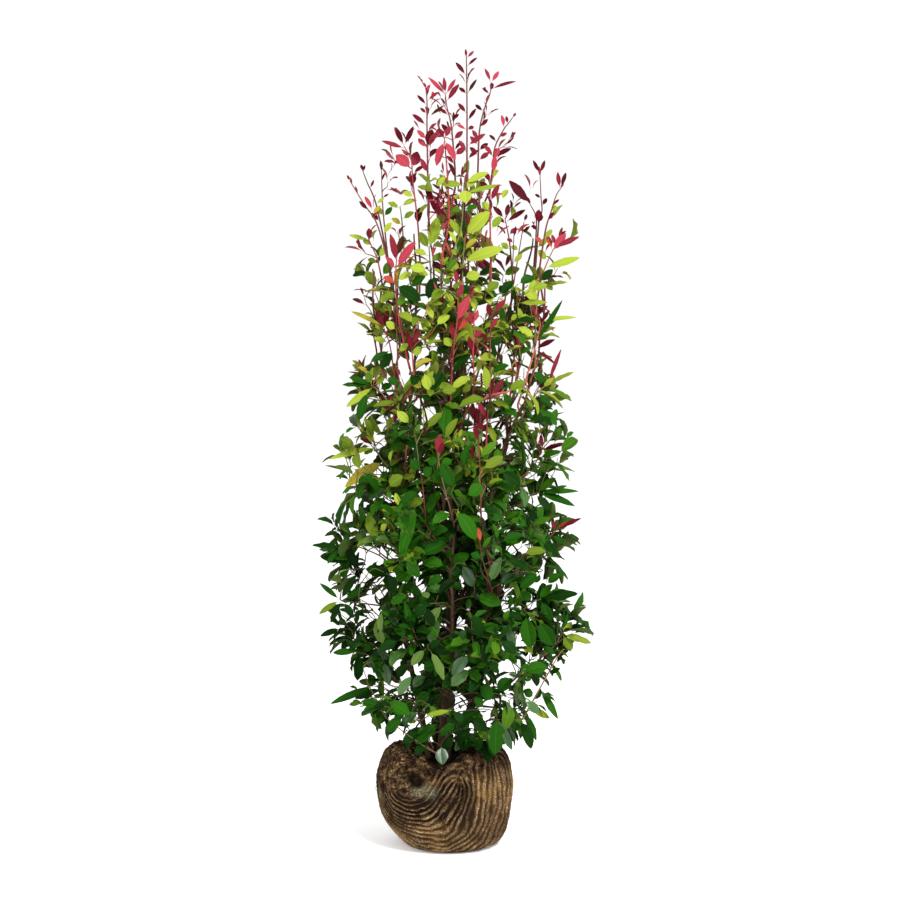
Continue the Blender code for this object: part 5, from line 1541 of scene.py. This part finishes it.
def catmull(points, t):
    x = min(max(t, 0.0), 1.0) * (len(points) - 1)
    i = min(int(x), len(points) - 2)
    f = x - i
    p = [points[min(max(i + k, 0), len(points) - 1)] for k in (-1, 0, 1, 2)]
    return tuple(0.5 * (2 * p[1][c] + (p[2][c] - p[0][c]) * f + (2 * p[0][c] - 5 * p[1][c] + 4 * p[2][c] - p[3][c]) * f * f
                        + (3 * p[1][c] - p[0][c] - 3 * p[2][c] + p[3][c]) * f**3) for c in (0, 1))


def ball_base(azimuth, t):
    """The ball's own form, as in the frame."""
    out = around(azimuth)
    r, z = catmull(PROFILE, t)
    high = smooth((z - 0.13) / 0.10) * smooth((r - 0.066) / 0.025)
    z -= NOTCH_DEPTH * math.exp(-((turn_between(azimuth, NOTCH_AZIMUTH) / NOTCH_WIDTH) ** 2)) * high
    z -= BACK_DIP * math.exp(-((turn_between(azimuth, BACK_AZIMUTH) / BACK_WIDTH) ** 2)) * high
    free = smooth(z / 0.05) * smooth((r - 0.066) / 0.02)
    r -= 0.006 * (1 - smooth(z / 0.12)) * smooth(z / 0.02) * max(0, -out.x)
    r += BALL_LUMPS * noise.noise(Vector((out.x * 2.1, out.y * 2.1, z * 14)) + Vector((3.7, 0, 0))) * free
    shift = BALL_X * smooth(z / 0.08)
    return Vector((shift + out.x * r, out.y * r, max(z, 0.0)))


PLANE_X = across(GATHER, Vector((1, 0, 0)))
PLANE_Y = PLANE_X.cross(-GATHER)


def flat_place(direction):
    """Stereographic place of a direction, with the gather at the middle."""
    away = 1 + direction.dot(GATHER)
    away = max(away, 0.02)
    return complex(direction.dot(PLANE_X) / away * 2, direction.dot(PLANE_Y) / away * 2)


W_EYE, W_RIM = flat_place(EYE), flat_place(RIM)


def rib_phase(direction, p):
    """The number of the rib at a point, as an angle: ribs run out from the gather and the rim and wind round the eye."""
    w = flat_place(direction)
    drift = 0.13 * noise.noise(p * 9) + 0.060 * noise.noise(p * 24 + Vector((4, 0, 0))) + 0.016 * noise.noise(p * 70)
    g = math.atan2(w.imag, w.real)
    r = math.atan2(w.imag - W_RIM.imag, w.real - W_RIM.real)
    e = 0.5 * math.log(abs(w - W_EYE) ** 2 + EYE_SOFT**2)
    return RIBS_GATHER * g + RIBS_RIM * r + RIBS_EYE * (e + drift * 0.9), abs(w), abs(w - W_EYE), abs(w - W_RIM)


def wrap(azimuth, t):
    """A point of the wrap with its relief, and how much of it is ridge, tangle and soil."""
    p = ball_base(azimuth, t)
    d = (p - BALL_CENTRE)
    direction = d.normalized()
    e = 0.6
    pa, pt = ball_base(azimuth + e, t), ball_base(azimuth, min(t + 0.006, 1.0) if t < 0.99 else t - 0.006)
    normal = (pa - p).cross(pt - p)
    if t >= 0.99:
        normal = -normal
    normal = -normal.normalized() if normal.length > 0 else direction
    if normal.dot(direction) < 0 and t > 0.2:
        normal = -normal
    if t <= 0.2 and normal.z < 0:
        normal = -normal
    phase, w_g, w_e, w_r = rib_phase(direction, p)
    mess = 0.0
    mess = max(mess, 1 - smooth((w_e - 0.20) / 0.24))                      # the fold on the left
    mess = max(mess, 0.8 * (1 - smooth((w_r - 0.10) / 0.30)))              # by the rim
    mess = max(mess, 0.80 * (1 - smooth((w_g - 0.02) / 0.12)))             # right at the gather
    mess = max(mess, 0.95 * math.exp(-((off_line(p, OVER_A, OVER_B) / 0.022) ** 2)))  # and over it
    mess = max(mess, 0.90 * math.exp(-(((p - WRINKLES).length / 0.034) ** 2)))
    upper_left = smooth((-direction.x + 0.15) / 0.5) * smooth((direction.z - 0.30) / 0.3)
    mess = max(mess, upper_left, 0.80 * smooth((-direction.x - 0.15) / 0.35) * smooth((direction.z + 0.02) / 0.20) * smooth(-direction.y * 2 + 0.6))
    mess = max(mess, 0.75 * smooth((direction.z - 0.62) / 0.2))
    mess = min(1.0, mess * (0.85 + 0.5 * noise.noise(p * 22)))
    mess = max(mess, 0)
    mouth = 1 - smooth((t - 0.04) / 0.12)
    low = smooth(p.z / 0.012)
    turn = 0.5 + 0.5 * math.cos(phase)
    # rounded rope on top, narrow furrow between
    ridge = smooth(turn ** 0.75)
    uneven = 0.72 + 0.55 * noise.noise(p * 40 + Vector((0, 9, 0)))
    threads = noise.noise(Vector((phase * 0.9, p.z * 12, p.x * 12)))
    relief = (0.0068 * (ridge - 0.60) * min(max(uneven, 0.30), 1.30) + 0.0022 * threads) * (1 - 0.80 * mess)
    hollow = math.exp(-((off_line(p, HOLLOW, HOLLOW_END) / 0.018) ** 2))
    patch = math.exp(-((off_line(p, PATCH, PATCH_END) / 0.013) ** 2))
    relief -= 0.023 * hollow
    relief += 0.006 * patch * (0.7 + 1.3 * noise.noise(p * 75))
    folds = 1 - abs(noise.noise(Vector((p.x * 58 + p.z * 30, p.y * 58, p.z * 44 - p.x * 26)))) * 2.6
    crumple = (noise.fractal(p * 40, 0.9, 2.1, 4) * 0.0052 + folds * 0.0030) * mess + noise.noise(p * 17) * 0.0045 * (0.35 + 0.65 * mess)
    fray = noise.noise(p * 150) * 0.0009
    p = p + normal * (relief + crumple * (1 - mouth * 0.6) + fray) * low * (1 - 0.5 * mouth)
    p.z = max(p.z, 0.0)
    # the ridge value lightens crests and darkens furrows and fold creases in the material: partly the fibre's tone,
    # partly painted light and shade
    tone = ridge * (0.84 + 0.5 * noise.noise(p * 33 + Vector((0, 0, 5))) + 0.45 * threads)
    return p, min(max(tone, 0), 1) * (1 - 0.5 * mess) + 0.25 * mess * (0.4 + folds), mess, mouth, min(1.0, 1.6 * hollow), min(1.0, 1.2 * patch)


AZ_COUNT, T_COUNT = 500, 180
azimuths = []
for i in range(AZ_COUNT):
    # columns lie closer together on the front
    s = i / AZ_COUNT
    azimuths.append(270 + 360 * (s - 0.5) - 22 * math.sin(2 * math.pi * (s - 0.5)))
ball_points, ball_ridge, ball_mess, ball_soil, ball_hollow, ball_patch = [], [], [], [], [], []
for j in range(T_COUNT + 1):
    t = j / T_COUNT
    for azimuth in azimuths:
        p, ridge, mess, soil, hollow, patch = wrap(azimuth, t)
        ball_hollow.append(hollow)
        ball_patch.append(patch)
        ball_points.append(p)
        ball_ridge.append(ridge)
        ball_mess.append(mess)
        ball_soil.append(soil)
ball_faces = []
for j in range(T_COUNT):
    for i in range(AZ_COUNT):
        a, b = j * AZ_COUNT + i, j * AZ_COUNT + (i + 1) % AZ_COUNT
        ball_faces.append((a, a + AZ_COUNT, b + AZ_COUNT, b))
# earth in the mouth of the wrap, and the flat underside
inner = list(range(AZ_COUNT))
for ring in range(1, 9):
    share = 1 - ring / 9
    start = len(ball_points)
    for i in range(AZ_COUNT):
        q = ball_points[i]
        x, y = BALL_X + (q.x - BALL_X) * share, q.y * share
        z = lerp(q.z, 0.2135, min(ring / 2, 1)) + 0.0035 * noise.noise(Vector((x * 60, y * 60, 2))) * min(ring / 2, 1)
        ball_points.append(Vector((x, y, z)))
        ball_ridge.append(0.2)
        ball_mess.append(1.0)
        ball_soil.append(1.0)
    for i in range(AZ_COUNT):
        n = (i + 1) % AZ_COUNT
        ball_faces.append((inner[i], inner[n], start + n, start + i))
    inner = list(range(start, start + AZ_COUNT))
ball_points.append(Vector((BALL_X, 0, 0.2135)))
ball_ridge.append(0.2); ball_mess.append(1.0); ball_soil.append(1.0)
for i in range(AZ_COUNT):
    ball_faces.append((inner[i], inner[(i + 1) % AZ_COUNT], len(ball_points) - 1))
foot = T_COUNT * AZ_COUNT
ball_points.append(Vector((0, 0, 0)))
ball_ridge.append(0.3); ball_mess.append(0.0); ball_soil.append(0.0)
for i in range(AZ_COUNT):
    ball_faces.append((foot + (i + 1) % AZ_COUNT, foot + i, len(ball_points) - 1))
ball = mesh_object("root_ball_wrap", ball_points, ball_faces, [jute_material()])
# the upper part of the wrap, which the material darkens as painted shade
ball_high = [smooth((p.z - 0.085) / 0.10) for p in ball_points]
# painted light: the right side and the lower part of the wrap, which the material paints lighter
ball_painted_light = [max(smooth((p.x - 0.030) / 0.06) * smooth((0.235 - p.z) / 0.05), smooth((0.110 - p.z) / 0.06)) for p in ball_points]
ball_hollow += [0.0] * (len(ball_points) - len(ball_hollow))
ball_patch += [0.0] * (len(ball_points) - len(ball_patch))
for label, values in (("ridge", ball_ridge), ("mess", ball_mess), ("soil", ball_soil), ("high", ball_high), ("painted_light", ball_painted_light),
                      ("hollow", ball_hollow), ("patch", ball_patch)):
    layer = ball.data.attributes.new(label, "FLOAT", "POINT")
    layer.data.foreach_set("value", values)
settle(ball, "root_ball", "root_ball")

# loose fibres of the wrap: most lie along the cloth, some stand off it, a few longer straws cross the tangle
fibre_points, fibre_faces = [], []
for k in range(430):
    front = k % 3 != 0
    azimuth = dice.gauss(268, 62) if front else dice.uniform(0, 360)
    t = dice.uniform(0.16, 0.92)
    if k < 34:
        azimuth, t = dice.uniform(195, 258), dice.uniform(0.18, 0.42)
    long_one = k < 22
    run = dice.uniform(0.03, 0.060) if long_one else dice.uniform(0.006, 0.020)
    heading = dice.uniform(0, math.pi * 2)
    bend = dice.uniform(-0.8, 0.8)
    lift = dice.uniform(0.0004, 0.0016) if long_one else dice.uniform(0.0003, 0.0030)
    path = []
    steps = 7
    for i in range(steps):
        s = i / (steps - 1) - 0.5
        turn = heading + bend * s
        az = azimuth + math.degrees(run * s * math.cos(turn) / 0.16)
        tt = t + run * s * math.sin(turn) / 0.46
        tt = min(max(tt, 0.12), 0.95)
        q = wrap(az, tt)[0]
        away = (q - BALL_CENTRE).normalized()
        if off_line(q, HOLLOW, HOLLOW_END) < 0.026:
            path = []
            break
        q = q + away * (0.0004 + lift * (1 - (2 * s) ** 2 if long_one or k % 2 else (s + 0.5)) * 1.6)
        q.z = max(q.z, 0.0008)
        path.append(q)
    if len(path) < steps:
        continue
    thick = dice.uniform(0.00030, 0.0006)
    spots, faces = tube(path, [thick * (1 - 0.5 * abs(i / (steps - 1) - 0.5)) for i in range(steps)], 3, len(fibre_points))
    fibre_points += spots
    fibre_faces += faces
fibres = settle(mesh_object("wrap_fibres", fibre_points, fibre_faces, [straw_material()]), "root_ball")

# ------------------------------------------------------------------ floor, light, camera
floor_mesh = bpy.data.meshes.new("floor")
floor_mesh.from_pydata([(-30, -30, 0), (30, -30, 0), (30, 30, 0), (-30, 30, 0)], [], [(0, 1, 2, 3)])
floor = bpy.data.objects.new("floor", floor_mesh)
SCENE.collection.objects.link(floor)
floor_material = bpy.data.materials.new("floor_white")
floor_material.use_nodes = True
b = floor_material.node_tree.nodes["Principled BSDF"]
b.inputs["Base Color"].default_value = (0.98, 0.98, 0.98, 1)
b.inputs["Roughness"].default_value = 0.9
b.inputs["Specular IOR Level"].default_value = 0.0
b.inputs["Emission Color"].default_value = (1, 1, 1, 1)
b.inputs["Emission Strength"].default_value = 0.14
floor_mesh.materials.append(floor_material)
floor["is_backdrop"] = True

world = bpy.data.worlds.new("studio")
world.use_nodes = True
world.node_tree.nodes["Background"].inputs["Color"].default_value = (1, 1, 1, 1)
world.node_tree.nodes["Background"].inputs["Strength"].default_value = 1.03
SCENE.world = world


def area(name, place, aim, size, power):
    light = bpy.data.lights.new(name, "AREA")
    light.shape = "DISK"
    light.size = size
    light.energy = power
    o = bpy.data.objects.new(name, light)
    o.location = place
    o.rotation_euler = (Vector(aim) - Vector(place)).to_track_quat("-Z", "Y").to_euler()
    SCENE.collection.objects.link(o)
    return o


area("key", (1.9, -3.7, 3.9), (0, 0, 0.95), 1.2, 285)
area("fill", (-2.8, -2.4, 2.4), (0, 0, 0.6), 1.6, 34)

SCENE.view_settings.view_transform = "Standard"
SCENE.view_settings.look = "None"
SCENE.view_settings.exposure = 0.0
SCENE.view_settings.gamma = 1.0

camera_data = bpy.data.cameras.new("camera")
camera_data.lens = LENS
camera_data.sensor_width = SENSOR
camera = bpy.data.objects.new("camera", camera_data)
camera.location = CAMERA
camera.rotation_euler = (TARGET - CAMERA).to_track_quat("-Z", "Y").to_euler()
SCENE.collection.objects.link(camera)
SCENE.camera = camera

triangles = {o.name: sum(len(p.vertices) - 2 for p in o.data.polygons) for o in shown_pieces() if o.type == "MESH"}
print("leaves", LEAF_COUNT, "by mark", shoot_leaves, "chains", len(CHAINS), "triangles", sum(triangles.values()))
print({k: v for k, v in triangles.items() if v > 3000})
low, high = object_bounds()
